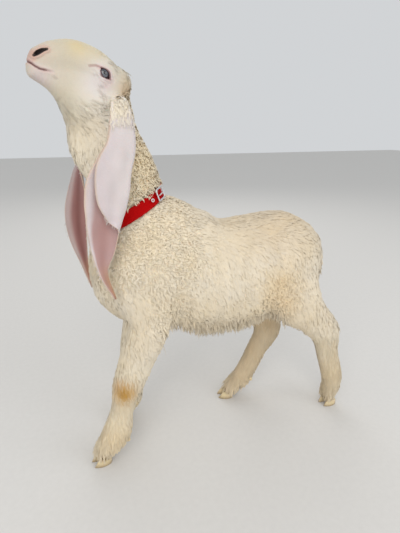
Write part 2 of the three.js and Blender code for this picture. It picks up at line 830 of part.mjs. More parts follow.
// A frame on the band at an angle: origin on its outer face, z out, y along the collar's height.
function onBand(angle, lift) {
  const at = onCollar(angle, 0, COLLAR.off + COLLAR.thickness);
  const low = onCollar(angle, -COLLAR.width / 2, COLLAR.off + COLLAR.thickness);
  const high = onCollar(angle, COLLAR.width / 2, COLLAR.off + COLLAR.thickness);
  const ahead = onCollar(angle + 0.08, 0, 0);
  const behind = onCollar(angle - 0.08, 0, 0);
  const yAxis = high.clone().sub(low).normalize();
  const xAxis = ahead.sub(behind);
  xAxis.addScaledVector(yAxis, -xAxis.dot(yAxis)).normalize();
  const zAxis = xAxis.clone().cross(yAxis);
  const middle = low.clone().add(high).divideScalar(2);
  const proud = Math.max(at.sub(middle).dot(zAxis), 0);
  const origin = middle.addScaledVector(zAxis, lift + proud);
  return new THREE.Matrix4().makeBasis(xAxis, yAxis, zAxis).setPosition(origin);
}

const BUCKLE = { angle: -0.48, long: 24, wide: 24, corner: 3, wire: 2.4, window: 17, prong: [15, 2.2] };
const EYELETS = { angles: [-0.82, 0.25, 0.55], radius: 3.4, hole: 1.6, thick: 1.2 };

// The outline of a rectangle with cut corners, from its half sides.
function roundedRectangle(x, y, corner) {
  const cut = corner * 0.3;
  const quarter = [[x, y - corner], [x - cut, y - cut], [x - corner, y]];
  const mirrored = (sx, sy) => quarter.map(([px, py]) => new THREE.Vector2(sx * px, sy * py));
  return [
    ...mirrored(1, 1),
    ...mirrored(-1, 1).reverse(),
    ...mirrored(-1, -1),
    ...mirrored(1, -1).reverse(),
  ];
}

function buckleFrame() {
  const { long, wide, corner, window } = BUCKLE;
  const shape = new THREE.Shape(roundedRectangle(wide / 2, long / 2, corner));
  const hole = new THREE.Path(roundedRectangle(window / 2, window / 2, 1).reverse());
  shape.holes.push(hole);
  const frame = new THREE.ExtrudeGeometry(shape, { depth: BUCKLE.wire, bevelEnabled: false });
  frame.applyMatrix4(onBand(BUCKLE.angle, 0.6));
  return solid(frame);
}

function bucklePin() {
  const [length, thick] = BUCKLE.prong;
  const pin = new THREE.CylinderGeometry(thick / 2, thick / 2, length, 10);
  pin.rotateZ(Math.PI / 2);
  pin.applyMatrix4(onBand(BUCKLE.angle, 0.6 + BUCKLE.wire + 0.4 + thick / 2));
  return solid(pin);
}

function eyelet(angle) {
  const { radius, hole, thick } = EYELETS;
  const profile = [
    [hole, 0],
    [radius, 0],
    [radius, thick * 0.5],
    [radius - 0.6, thick],
    [hole, thick],
    [hole, 0],
  ];
  const ring = new THREE.LatheGeometry(profile.map((p) => new THREE.Vector2(...p)), 8);
  ring.rotateX(Math.PI / 2);
  ring.applyMatrix4(onBand(angle, 0.5));
  return solid(ring);
}

// ---- flesh: head, neck and shanks are lofted, the torso is meshed and parted by flat cuts

function headSolid() {
  const [px, pz] = FAN.pivot;
  const muzzle = MUZZLE_SECTIONS.map((x) => ({
    at: posed([x, 0, x < 25 ? 2 : 1]),
    along: turned([1, 0, 0]),
    side: turned([0, 1, 0]),
  }));
  const throat = THROAT.at.clone().applyMatrix4(toHead);
  const last = Math.atan2(throat.x - px, throat.z - pz);
  const fan = Array.from({ length: FAN.steps + 1 }, (_, i) => {
    const t = i / FAN.steps;
    const angle = last * t;
    const out = lerp(FAN.start, FAN.end, t);
    return {
      at: posed([px + out * Math.sin(angle), throat.y * t * t, pz + out * Math.cos(angle)]),
      along: turned([Math.cos(angle), 0, -Math.sin(angle)]),
      side: turned([0, 1, 0]),
    };
  });
  fan.pop();
  const end = {
    at: THROAT.at.clone().addScaledVector(THROAT.normal, GAP / 2),
    along: THROAT.normal.clone().negate(),
    side: turned([0, 1, 0]),
  };
  const nose = cast(bodyForm, posed([MUZZLE_SECTIONS[0] + 6, 0, 2]), turned([-1, 0, 0]), 30);
  return sleeve(bodyForm, [...muzzle, ...fan, end], 20, 100, [nose]);
}

function neckSolid() {
  const axis = curve(NECK_AXIS);
  const levels = [0, 0.07, 0.15, 0.36, 0.6, 0.8, 1];
  const sections = levels.map((t) => {
    const along = collarUp.clone().lerp(THROAT.normal, t).normalize();
    const inset = t === 0 ? GAP / 2 : t === 1 ? -GAP / 2 : 0;
    const base = t === 0 ? collarCentre.clone() : axis.getPoint(t);
    return { at: base.addScaledVector(along, inset), along, side: midSide };
  });
  return sleeve(bodyForm, sections, 20, 140);
}

// From the knee or hock down to the claws' rim.
function shankSolid(leg, limbForm, kneeNormal) {
  const { toe, forward } = footFrame(leg);
  const knee = leg.kind === 'fore' ? leg.knee : leg.hock;
  const rimNormal = forward.clone().multiplyScalar(-rimSlope).add(new THREE.Vector3(0, 0, 1)).normalize();
  const foot = new THREE.Vector3(...leg.coronet);
  foot.z = rimHeight(toe.clone().sub(foot).setZ(0).dot(forward)) + GAP;
  const path = curve([knee, between(knee, leg.fetlock, 0.5), leg.fetlock, leg.coronet]);
  const levels = [0, 0.12, 0.26, 0.42, 0.58, 0.72, 0.84, 0.93, 1];
  const sections = levels.map((t) => ({
    at: path.getPoint(t).addScaledVector(kneeNormal, t === 0 ? -GAP / 2 : 0),
    along: t === 0 ? kneeNormal : path.getTangent(t).negate(),
    side: midSide,
  }));
  sections.push({ at: foot, along: rimNormal, side: midSide });
  return sleeve(limbForm, sections, 12, 60);
}

// The tail from its root in the rump to its rounded tip.
function tailSolid(grow) {
  const path = curve(TAIL.map(([x, z]) => [x, 0, z]));
  const levels = [0, 0.2, 0.42, 0.66, 0.86, 1];
  const sections = levels.map((t) => {
    const along = path.getTangent(t).negate();
    const at = path.getPoint(t).addScaledVector(along, t === 0 ? grow : 0);
    return { at, along, side: midSide };
  });
  const tip = path.getPoint(1).addScaledVector(path.getTangent(1), TAIL.at(-1)[2] * 0.7);
  return sleeve((x, y, z) => tail(x, y, z) - grow, sections, 12, 60, [null, tip]);
}

const torso = solid(surfaceNet(bodyForm, [-15, -125, 90], [640, 130, 600], CELL));
let head = headSolid().subtract(lipGroove());
for (const side of [-1, 1]) {
  const [x, y, z] = EYE.at;
  const ball = (radius) => {
    const sphere = new THREE.SphereGeometry(radius, 11, 7);
    sphere.rotateX(Math.PI / 2);
    sphere.translate(x, side * y, z);
    sphere.applyMatrix4(headPose);
    return solid(sphere);
  };
  head = head.subtract(ball(EYE.radius + GAP)).subtract(lidOpening(side)).subtract(nostril(side));
  addNode(side < 0 ? 'eye_left' : 'eye_right', ball(EYE.radius), 'eye');
}
for (const [name, ear] of Object.entries(EARS)) {
  head = head.subtract(earSolid(ear, GAP));
  addNode(name, earSolid(ear, 0), 'ear');
}
addNode('head', head, 'face');
addNode('neck', neckSolid().subtract(collarChannel()), 'fleece');

// The part of the torso that belongs to a leg above its knee or hock.
function thighRegion(leg, grow) {
  const side = Math.sign(leg.coronet[1]);
  const out = ([x, y, z]) => [x, y + side * 12, z];
  if (leg.kind === 'fore') return boxAlong(out(leg.elbow), out(leg.knee), [52, 40], [4, 60], grow);
  const gaskin = boxAlong(out(leg.stifle), out(leg.hock), [62, 42], [4, 60], grow);
  return gaskin.add(boxAlong(out(leg.hip), out(leg.stifle), [70, 42], [-4, 10], grow));
}

const belly = new THREE.Vector3(0, 0, BELLY);
let trunkPart = keepBehind(torso, collarNape, collarUp).subtract(collarChannel());
trunkPart = keepBehind(trunkPart, belly, new THREE.Vector3(0, 0, -1));

Object.entries(LEGS).forEach(([name, leg], i) => {
  const side = Math.sign(leg.coronet[1]);
  const [upper, mid] = leg.kind === 'fore' ? [leg.elbow, leg.knee] : [leg.stifle, leg.hock];
  const kneeAt = new THREE.Vector3(...mid);
  const kneeNormal = new THREE.Vector3(...upper).sub(new THREE.Vector3(...leg.fetlock)).normalize();
  const upperPart = torso.intersect(thighRegion(leg, 0));
  addNode(`${name}_upper`, keepBehind(upperPart, kneeAt, kneeNormal.clone().negate()), 'fleece');
  trunkPart = trunkPart.subtract(thighRegion(leg, GAP));

  let shank = shankSolid(leg, legForms[i], kneeNormal);
  for (const claw of [-1, 1]) {
    const place = claw === side ? 'inner' : 'outer';
    shank = shank.subtract(dewclawSolid(leg, legForms[i], claw, GAP));
    addNode(`claw_${name}_${place}`, clawSolid(leg, claw), 'horn');
    addNode(`dewclaw_${name}_${place}`, dewclawSolid(leg, legForms[i], claw, 0), 'horn');
  }
  addNode(`${name}_lower`, shank, 'shank');
});
addNode('trunk', trunkPart.subtract(tailSolid(2 * GAP)), 'fleece');
addNode('tail', tailSolid(0), 'fleece');
addNode('collar_band', collarBand(), 'strap');
addNode('collar_buckle', buckleFrame(), 'steel');
addNode('collar_pin', bucklePin(), 'steel');
EYELETS.angles.forEach((angle, i) => addNode(`collar_eyelet_${i + 1}`, eyelet(angle), 'steel'));

// The frame's origin is at the middle of the footprint, on the floor.
const reach = new THREE.Box3().setFromObject(sheep);
sheep.position.set(-(reach.min.x + reach.max.x) / 2, -(reach.min.y + reach.max.y) / 2, 0);

export default sheep;
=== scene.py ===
"""A long-eared lamb standing with its head raised: skin, coat, eyes, horn and collar over the CAD frame.

The animal is drawn in millimetres in a frame of its own, +Z up, with its left side at -Y. `to_row` takes
a drawn point to the row frame in metres. The lamb's form is a signed distance made of limbs swept
through stations; the skin lies inside the CAD solids by the depth of the coat, and the tips of the
coat reach their surface.
"""

from __future__ import annotations

import logging
import math
from dataclasses import dataclass, field
from enum import Enum
from functools import partial
from typing import Any, Callable, Iterable, Sequence

import bmesh
import bpy
import numpy as np
from bpy.types import Material, Mesh, Object
from mathutils import Matrix, Vector
from mathutils.bvhtree import BVHTree
from numpy.random import Generator

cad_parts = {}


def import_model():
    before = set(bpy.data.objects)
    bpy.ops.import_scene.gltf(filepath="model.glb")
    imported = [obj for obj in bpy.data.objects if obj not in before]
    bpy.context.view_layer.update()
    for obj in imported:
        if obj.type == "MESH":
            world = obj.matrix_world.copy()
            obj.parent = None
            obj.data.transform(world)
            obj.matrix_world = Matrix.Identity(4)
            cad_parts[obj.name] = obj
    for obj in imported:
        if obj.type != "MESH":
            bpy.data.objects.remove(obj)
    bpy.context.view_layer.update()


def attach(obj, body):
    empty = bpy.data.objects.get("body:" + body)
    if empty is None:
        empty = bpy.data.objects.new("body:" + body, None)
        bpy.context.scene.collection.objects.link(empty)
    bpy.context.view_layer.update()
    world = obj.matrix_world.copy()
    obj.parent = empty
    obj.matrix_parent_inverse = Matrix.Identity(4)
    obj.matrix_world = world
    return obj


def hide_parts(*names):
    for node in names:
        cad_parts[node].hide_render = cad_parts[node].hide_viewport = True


LOG = logging.getLogger("lamb")
MM = 0.001
DRAWN_ORIGIN = np.array([-284.26, 6.41, 0.0])  # of the animal's own frame, in the row frame
BAKE_MAP = "OFBake"
BAKE_PATCH = 0.003  # how wide a strand's place on the skin's unwrap is
HEAD_FLOOR = 600.0  # height above which a point belongs to the head
NOWHERE = 99.0  # distance stored where a feature of the face isn't near
FULL_TURN = 2 * math.pi

Array = np.ndarray
Arrays = tuple[Array, ...]
Form = Callable[[Array], Array]  # takes points to signed distances
Triple = tuple[float, float, float]


# ---- small mathematics ----


def to_row(points: Array) -> Array:
    """Drawn millimetres to metres of the row frame."""
    return (np.asarray(points, float) + DRAWN_ORIGIN) * MM


def to_drawn(points: Array) -> Array:
    """Metres of the row frame to drawn millimetres."""
    return np.asarray(points, float) / MM - DRAWN_ORIGIN


def unit(vectors: Array) -> Array:
    """Vectors scaled to length one."""
    vectors = np.asarray(vectors, float)
    return vectors / np.maximum(np.linalg.norm(vectors, axis=-1, keepdims=True), 1e-9)


def smooth(value: Array, low: float, high: float) -> Array:
    """A soft step from 0 at low to 1 at high."""
    t = np.clip((value - low) / (high - low), 0.0, 1.0)
    return t * t * (3.0 - 2.0 * t)


def bump(distance: Array, width: float) -> Array:
    """A rounded bump, 1 at no distance."""
    return np.exp(-((distance / width) ** 2))


def soft_min(a: Array, b: Array, k: float) -> Array:
    """Union of two distances with a fillet about k wide."""
    h = np.maximum(k - np.abs(a - b), 0.0) / k
    return np.minimum(a, b) - h * h * k / 4.0


def soft_max(a: Array, b: Array, k: float) -> Array:
    """Intersection of two distances with a rounded edge."""
    return -soft_min(-a, -b, k)


def blend(a: Any, b: Any, share: Array) -> Array:
    """The first turned into the second by a share."""
    return np.asarray(a) * (1 - share) + np.asarray(b) * share


def distance_to(points: Array, at: Any, stretch: Any = 1.0) -> Array:
    """How far points are from a place, with each axis divided by a stretch if one is given."""
    return np.linalg.norm((points - np.asarray(at)) / np.asarray(stretch), axis=1)


def mirrored(points: Array) -> Array:
    """Points with those of the left side brought over to the right."""
    return np.column_stack([points[:, 0], np.abs(points[:, 1]), points[:, 2]])


def ring_angles(count: int) -> Array:
    """Evenly spaced angles round a full turn."""
    return np.linspace(0.0, FULL_TURN, count, endpoint=False)


def catmull_rom(points: Array, t: Array) -> Array:
    """Centripetal Catmull-Rom curve.

    Args:
        points: the points it passes through, one row each.
        t: places on it, 0 at the first point and 1 at the last, evenly spaced by point.

    Returns:
        One row for each place.
    """
    points = np.asarray(points, float)
    last = len(points) - 1
    place = np.clip(np.asarray(t, float), 0.0, 1.0) * last
    at = np.minimum(place.astype(int), last - 1)
    w = (place - at)[:, None]
    padded = np.vstack([2 * points[0] - points[1], points, 2 * points[-1] - points[-2]])
    p0, p1, p2, p3 = (padded[at + i] for i in range(4))

    def knot(a: Array, b: Array) -> Array:
        """Centripetal step between two neighbours."""
        return np.sum((a - b) ** 2, axis=1, keepdims=True) ** 0.25

    d0, d1, d2 = knot(p0, p1), knot(p1, p2), knot(p2, p3)
    d1 = np.where(d1 < 1e-4, 1.0, d1)
    d0 = np.where(d0 < 1e-4, d1, d0)
    d2 = np.where(d2 < 1e-4, d1, d2)
    m1 = ((p1 - p0) / d0 - (p2 - p0) / (d0 + d1) + (p2 - p1) / d1) * d1
    m2 = ((p2 - p1) / d1 - (p3 - p1) / (d1 + d2) + (p3 - p2) / d2) * d1
    cubic = 2 * p1 - 2 * p2 + m1 + m2
    square = -3 * p1 + 3 * p2 - 2 * m1 - m2
    return p1 + w * (m1 + w * (square + w * cubic))


def polyline_distance(x: Array, z: Array, line: Sequence[Sequence[float]]) -> Arrays:
    """How far points of a plane are from a line, and the line's own third value there.

    Args:
        x: first coordinates.
        z: second coordinates.
        line: rows of x, z and, if given, one value that is interpolated along the line.

    Returns:
        Distances, and the interpolated values.
    """
    best = np.full(np.shape(x), np.inf)
    value = np.zeros(np.shape(x))
    rows = [(*row, 0.0)[:3] for row in line]
    for (ax, az, av), (bx, bz, bv) in zip(rows, rows[1:]):
        dx, dz = bx - ax, bz - az
        t = np.clip(((x - ax) * dx + (z - az) * dz) / (dx * dx + dz * dz), 0.0, 1.0)
        d = np.hypot(x - ax - t * dx, z - az - t * dz)
        nearer = d < best
        best = np.where(nearer, d, best)
        value = np.where(nearer, av + t * (bv - av), value)
    return best, value


class Ripples:
    """Smooth repeatable noise in space: a few sine waves in seeded directions."""

    def __init__(self, seed: int, wavelength: float, count: int = 7) -> None:
        """Draws the waves.

        Args:
            seed: of the draw.
            wavelength: typical length of a wave, in drawn millimetres.
            count: how many waves are added.
        """
        rng = np.random.default_rng(seed)
        spread = rng.uniform(0.6, 1.7, (count, 1))
        self.waves = unit(rng.normal(size=(count, 3))) * 2 * math.pi / (wavelength * spread)
        self.phases = rng.uniform(0, FULL_TURN, count)

    def __call__(self, points: Array) -> Array:
        """Noise of about -1 to 1 at each point."""
        return np.sin(points @ self.waves.T + self.phases).sum(1) / math.sqrt(len(self.phases) * 1.2)


# ---- the form of the lamb ----


class Limb:
    """A form swept through stations (x, y, z, depth, width): elliptical across, round at both ends."""

    REACH = 75.0  # beyond this the distance isn't worked out

    def __init__(self, stations: Iterable[Sequence[float]], steps: int = 5) -> None:
        """Draws the rings.

        Args:
            stations: centre, half depth and half width, in drawn millimetres.
            steps: rings from one station to the next.
        """
        rows = np.array(list(stations), float)
        t = np.linspace(0.0, 1.0, (len(rows) - 1) * steps + 1)
        girths = np.column_stack([rows[:, 3:5], np.zeros(len(rows))])
        self.rings = np.column_stack([catmull_rom(rows[:, :3], t), catmull_rom(girths, t)[:, :2]])
        grow = self.rings[:, 3:5].max() + self.REACH
        self.low = self.rings[:, :3].min(0) - grow
        self.high = self.rings[:, :3].max(0) + grow

    def distance(self, points: Array) -> Array:
        """Signed distance of each point, and a large number far outside."""
        out = np.full(len(points), self.REACH * 4)
        near = np.all((points > self.low) & (points < self.high), axis=1)
        x, y, z = points[near].T
        best = np.full(x.shape, np.inf)
        for a, b in zip(self.rings, self.rings[1:]):
            axis = b[:3] - a[:3]
            reached = (x - a[0]) * axis[0] + (y - a[1]) * axis[1] + (z - a[2]) * axis[2]
            t = np.clip(reached / (axis @ axis), 0.0, 1.0)
            ex, ey, ez = x - a[0] - t * axis[0], y - a[1] - t * axis[1], z - a[2] - t * axis[2]
            depth, width = a[3] + t * (b[3] - a[3]), a[4] + t * (b[4] - a[4])
            flat = ex * ex + ez * ez
            reach = np.sqrt(flat + ey * ey)
            share = np.sqrt(flat / depth**2 + (ey / width) ** 2)
            best = np.minimum(best, reach * (1.0 - 1.0 / np.maximum(share, 1e-4)))
        out[near] = best
        return out


@dataclass(frozen=True)
class LegPlan:
    """Joint positions of one leg, and half depth and width of the outline at each."""

    fore: bool
    top: Triple
    bend: Triple
    knee: Triple
    fetlock: Triple
    coronet: Triple

    FORE_GIRTH = ((62, 34), (41, 32), (36.5, 27), (32.5, 25), (24.5, 21), (31, 24), (21.5, 23))
    HIND_GIRTH = ((69, 42), (59, 36), (41, 29), (36, 25), (27.5, 20), (26.5, 23), (17.5, 22))

    def limb(self) -> Limb:
        """The leg as a swept form."""
        bend, knee, fetlock = (np.array(joint) for joint in (self.bend, self.knee, self.fetlock))
        down, girths = (0.5, self.FORE_GIRTH) if self.fore else (0.45, self.HIND_GIRTH)
        middle, cannon = bend + (knee - bend) * 0.5, knee + (fetlock - knee) * down
        joints = [self.top, bend, middle, knee, cannon, fetlock, self.coronet]
        return Limb([*joint, *girth] for joint, girth in zip(joints, girths))


LEGS = {
    "fore_left": LegPlan(
        True, (127, -48, 385), (134, -56, 296.5), (84.5, -60, 174), (52.5, -62, 64.5), (26, -58, 27),
    ),
    "fore_right": LegPlan(
        True, (132, 48, 385), (144.5, 56, 299), (116, 58, 175.5), (100, 58, 61.5), (77, 55, 26),
    ),
    "hind_left": LegPlan(
        False, (429.5, -44, 388), (451, -56, 302.5), (532.5, -58, 210), (574, -53, 66.5), (568, -51, 29),
    ),
    "hind_right": LegPlan(
        False, (455, 44, 392), (423, 52, 295.5), (448, 54, 173), (388, 56, 55), (352, 56, 24.5),
    ),
}


@dataclass
class HeadFrame:
    """The head's own frame: x back from the tip of the nose, y across, z up."""

    at: Triple = (-30, -38, 741)
    yaw: float = 15
    lift: float = 15
    turn: Array = field(init=False)

    def __post_init__(self) -> None:
        """Works out the turn from the head's frame to the drawn one."""
        yaw, lift = math.radians(self.yaw), math.radians(self.lift)
        self.turn = np.array(Matrix.Rotation(yaw, 3, "Z") @ Matrix.Rotation(lift, 3, "Y"))

    def into(self, points: Array) -> Array:
        """Drawn points in the head's frame."""
        return (points - np.array(self.at)) @ self.turn

    def out(self, points: Array) -> Array:
        """Points of the head's frame, drawn."""
        return np.asarray(points, float) @ self.turn.T + np.array(self.at)

    def direction(self, vectors: Array) -> Array:
        """Directions of the head's frame, drawn."""
        return np.asarray(vectors, float) @ self.turn.T


@dataclass
class Face:
    """The features of the face, in the head's frame, for one side; the other side mirrors them."""

    eye: Triple = (106.5, 30, 13)
    eyeball: float = 11.5
    slit: tuple[float, float] = (9.9, 5.5)
    slope: float = 38
    lid: float = 1.6
    lips: tuple = ((0.5, 1.4), (5, -2), (11.5, -5.5), (18.5, -7.2), (28, -6.4), (37, -6.2))
    nostril: tuple = ((8.5, 8, 1.0), (10.5, 10.5, 2.1), (13.5, 14, 2.6), (18, 18.3, 2.1), (24, 21.8, 0.9))
    tear: tuple = ((98.5, 19), (92, 20.5), (84, 18))
    crest: tuple = ((50, -4), (75, -3), (98, -3))

    def slit_place(self, head: Array) -> Arrays:
        """Where points are across the lids' slit.

        Args:
            head: points of the head's frame.

        Returns:
            Place along the slit, place across it, and how far outside its almond outline.
        """
        dx, dz = head[:, 0] - self.eye[0], head[:, 2] - self.eye[2]
        c, s = math.cos(math.radians(self.slope)), math.sin(math.radians(self.slope))
        along, across = dx * c - dz * s, dx * s + dz * c
        share = along / self.slit[0]
        half = self.slit[1] * np.clip(1.0 - share * share, -1.0, 1.0)
        beyond = np.hypot(np.abs(along) - self.slit[0], across)
        outside = np.where(np.abs(share) < 1.0, np.abs(across) - half, beyond)
        steep = np.sqrt(1.0 + (1.6 * share * self.slit[1] / self.slit[0]) ** 2)
        return along, across, outside / steep

    def openings(self, head: Array) -> Arrays:
        """Distances of the head frame's points from the mouth's line, the nostrils and the lids' slit."""
        mouth, _ = polyline_distance(head[:, 0], head[:, 2], self.lips)
        hole, half = polyline_distance(head[:, 0], head[:, 2], self.nostril)
        _, _, slit = self.slit_place(mirrored(head))
        return mouth, hole - half, slit

    def marks(self, head: Array) -> dict[str, Array]:
        """Distances in millimetres from mouth, nostrils and lids' slit, for the skin's fine colours."""
        x, y = head[:, 0], np.abs(head[:, 1])
        mouth, nostril, slit = self.openings(head)
        behind = 60.0 * (x > 60.0)
        return {
            "mouth": mouth + 3.0 * smooth(x, 24, 40) + behind,
            "nostril": nostril + 6.0 * (1 - smooth(y, 3, 5.5)) + behind,
            "slit": slit + 9.0 * (1 - smooth(y, 17, 23)),
        }

    def carve(self, form: Array, head: Array, cut: bool) -> Array:
        """Adds lids, nostrils, lips and folds to the head's distance.

        Args:
            form: signed distances of the plain head.
            head: the same points in the head's frame.
            cut: whether to cut the mouth's line and the nostrils.

        Returns:
            The new distances.
        """
        x, y, z = mirrored(head).T
        form = form.copy()
        mouth, nostril, _ = self.openings(head)
        ahead = (1 - smooth(x, 30, 40)) * cut
        form += ahead * (2.6 * bump(mouth, 1.5) - 1.3 * bump(mouth, 5))
        side = smooth(y, 3.5, 6.5) * cut
        form += side * (5.5 * (1 - smooth(nostril, -1.6, 1)) - 1.7 * bump(nostril - 2, 1.9))
        form += 1.3 * bump(y, 1.3) * bump(z - 5, 5) * (1 - smooth(x, 5, 12))
        crest, _ = polyline_distance(x, z, self.crest)
        form -= 1.2 * bump(crest, 8) * smooth(y, 12, 20)
        form -= 1.2 * bump(x - 14, 9) * bump(z + 16, 7)
        tear, _ = polyline_distance(x, z, self.tear)
        beside = smooth(y, 18, 24)
        form += 1.3 * bump(tear, 1.4) * beside
        ball = np.sqrt((x - self.eye[0]) ** 2 + (y - self.eye[1]) ** 2 + (z - self.eye[2]) ** 2)
        form = soft_min(form, ball - self.eyeball - self.lid, 5.0)
        along, across, outside = self.slit_place(mirrored(head))
        upper = across > 0
        crease = np.where(upper, 1.1 * bump(outside - 4.6, 1.1), 0.8 * bump(outside - 4.2, 1))
        crease += np.where(upper, 0.5 * bump(outside - 8, 1.3), 0.5 * bump(outside - 7.5, 1.2))
        rim = -0.6 * bump(outside - 0.9, 1)
        form += (crease + rim) * beside * (1 - smooth(np.abs(along), 13, 19))
        opening = soft_max(outside, self.eye[1] + 2.5 - y, 0.6)
        return soft_max(form, -opening, 0.7)


@dataclass
class Body:
    """The whole animal as a signed distance, and the coat's depth over it."""

    trunk: tuple = (
        (106.5, 389, 60, 48), (140, 374.5, 101, 70), (195, 390.5, 106.5, 80), (265, 357, 122, 86),
        (345, 358.5, 119.5, 90), (420, 389, 94, 87), (449, 397.5, 73.5, 76),
    )
    neck: tuple = (
        (154.5, 425, 103, 66), (115, 490, 70, 58), (111, 560, 61, 51), (81.5, 620, 61.5, 46),
        (64, 664, 46.5, 42),
    )
    tail: tuple = (
        (488, 434, 22, 24), (513, 414, 18, 22), (529, 386, 14, 19), (535, 352, 12, 16), (535, 327, 9, 12),
    )
    skull: tuple = (
        (19, 10, 16.5, 18), (38, 16.5, 24.5, 23), (66, 23, 30.5, 26), (96, 20.5, 32.5, 34),
        (122, 8.5, 33, 41), (135, 8.5, 30.5, 41),
    )
    jaw: tuple = (
        (15.5, -9, 13.5, 15), (44, -12.5, 20, 20), (78, -21, 30.5, 30), (112, -22.5, 37, 37),
        (138, -25.5, 32.5, 38),
    )
    brow: tuple[float, float, float, float] = (108, 29, 16, 15.5)
    collar_nape: Triple = (172, 0, 540)
    collar_slant: float = 28
    collar_groove: float = 5
    collar_spread: float = 13
    sole_rim: float = 14.5
    ear_root: Triple = (131, 34, -8)
    ear_reach: Triple = (19, 16, 20)
    head: HeadFrame = field(default_factory=HeadFrame)
    face: Face = field(default_factory=Face)

    def __post_init__(self) -> None:
        """Sweeps the limbs."""
        def in_mid_plane(rows: tuple) -> Limb:
            """A limb whose stations lie in the plane of symmetry."""
            return Limb([x, 0, z, depth, width] for x, z, depth, width in rows)

        self._trunk, self._neck, self._tail = map(in_mid_plane, (self.trunk, self.neck, self.tail))
        self._skull, self._jaw = map(in_mid_plane, (self.skull, self.jaw))
        self._legs = [leg.limb() for leg in LEGS.values()]
        slant = math.radians(self.collar_slant)
        self.collar_up = np.array([-math.sin(slant), 0.0, math.cos(slant)])
        self.collar_back = np.array([math.cos(slant), 0.0, math.sin(slant)])
        self.collar_centre = np.array(self.collar_nape) - 70.0 * self.collar_back

    def above_collar(self, points: Array) -> Array:
        """Distance across the collar's plane, positive towards the head."""
        return (points - np.array(self.collar_nape)) @ self.collar_up

    def outline(self, points: Array) -> Array:
        """Signed distance of the CAD outline, out to the tips of the coat."""
        form = soft_min(self._trunk.distance(points), self._neck.distance(points), 60.0)
        for leg in self._legs:
            form = soft_min(form, leg.distance(points), 22.0)
        form = soft_min(form, self.head_outline(points), 34.0)
        form = form + self.collar_groove * bump(self.above_collar(points), self.collar_spread)
        return np.minimum(form, self._tail.distance(points))

    def head_outline(self, points: Array) -> Array:
        """Signed distance of the head alone."""
        out = np.full(len(points), 300.0)
        near = points[:, 2] > 540
        h = self.head.into(points[near])
        x, y, z, r = self.brow
        brow = np.sqrt((h[:, 0] - x) ** 2 + (np.abs(h[:, 1]) - y) ** 2 + (h[:, 2] - z) ** 2) - r
        out[near] = soft_min(soft_min(self._skull.distance(h), self._jaw.distance(h), 14.0), brow, 18.0)
        return out

    def wool(self, points: Array) -> Array:
        """1 where the animal carries wool, 0 on the face and the lower legs."""
        h = self.head.into(points)
        behind = smooth((h[:, 0] - 100) * 0.8 - (h[:, 2] + 20), 0, 45)
        return behind * smooth(points[:, 2], 165, 275)

    def curliness(self, points: Array) -> Array:
        """How tightly the wool curls, from 0 on the flank to 1 on the neck."""
        x, _, z = points.T
        above = self.above_collar(points)
        side = mirrored(points)
        elbow = bump(distance_to(side, (170, 80, 315)), 42)
        thigh = bump(distance_to(side, (402, 88, 325)), 50)
        neck = smooth(above, 0, 25) * smooth(x, 60, 105)
        shoulder = (1 - smooth(x, 190, 260)) * smooth(z, 330, 420) * (above < 0)
        curly = 0.10 + 0.85 * neck + 0.42 * shoulder + 0.65 * elbow + 0.5 * thigh
        return np.clip(curly + 0.08 * smooth(x, 440, 490), 0, 1)

    def near_ear(self, points: Array) -> Array:
        """1 on the head around the roots of the ears, where the hair runs down over them."""
        side = mirrored(self.head.into(points))
        return bump(distance_to(side, self.ear_root, self.ear_reach), 1)

    def belly(self, points: Array) -> Array:
        """1 along the underside between the legs."""
        x, _, z = points.T
        span = smooth(x, 150, 190) * (1 - smooth(x, 395, 440))
        return span * (1 - smooth(z, 245, 300)) * smooth(z, 205, 225)

    def coat_depth(self, points: Array) -> Array:
        """How far the skin lies under the outline, in millimetres."""
        z = points[:, 2]
        wool = self.wool(points)
        face = smooth(z, 560, 640)
        short = 3.2 * (1.0 - face) + 1.4 * face
        short += 1.6 * (1 - smooth(z, 50, 95))
        return short * (1.0 - wool) + (2.6 + 4.0 * self.curliness(points)) * wool + 9.0 * self.belly(points)

    def plain(self, points: Array) -> Array:
        """Signed distance of the skin, without the features of the face."""
        form = self.outline(points) + self.coat_depth(points)
        low = points[:, 2] < 60.0
        form[low] = soft_max(form[low], self.sole_rim - points[low, 2], 5.0)
        return form

    def skin(self, points: Array, cut: bool = True) -> Array:
        """Signed distance of the skin, with the features of the face, mouth and nostrils cut or not."""
        form = self.plain(points)
        head = self.head.into(points)
        near = (head[:, 0] < 135.0) & (points[:, 2] > HEAD_FLOOR)
        if near.any():
            form[near] = self.face.carve(form[near], head[near], cut)
        return form

    def cast(self, start: Array, way: Array, far: float) -> Array:
        """Where rays from inside the outline leave it.

        Args:
            start: starting points inside.
            way: unit directions.
            far: how far to look.

        Returns:
            Points on the outline.
        """
        low, high = np.zeros(len(way)), np.full(len(way), far)
        for _ in range(18):
            middle = (low + high) / 2
            inside = self.outline(start + way * middle[:, None]) < 0
            low, high = np.where(inside, middle, low), np.where(inside, high, middle)
        return start + way * low[:, None]


def slope_of(form: Form, points: Array, step: float = 0.4) -> Arrays:
    """Value and gradient of a form.

    Args:
        form: takes points to signed distances.
        points: where to look.
        step: of the differences.

    Returns:
        Values, and gradients as rows.
    """
    value = form(points)
    shifted = [form(points + step * np.eye(3)[i]) for i in range(3)]
    return value, np.stack([(s - value) / step for s in shifted], axis=1)


def settle(form: Form, points: Array, rounds: int, most: float) -> Array:
    """Moves points onto a form's surface along its own slope.

    Args:
        form: takes points to signed distances.
        points: where they start.
        rounds: how often they are moved.
        most: the longest move in one round.

    Returns:
        The moved points.
    """
    for _ in range(rounds):
        value, slope = slope_of(form, points)
        move = value / np.maximum((slope**2).sum(1), 0.3)
        points = points - slope * np.clip(move, -most, most)[:, None]
    return points


# ---- meshes ----


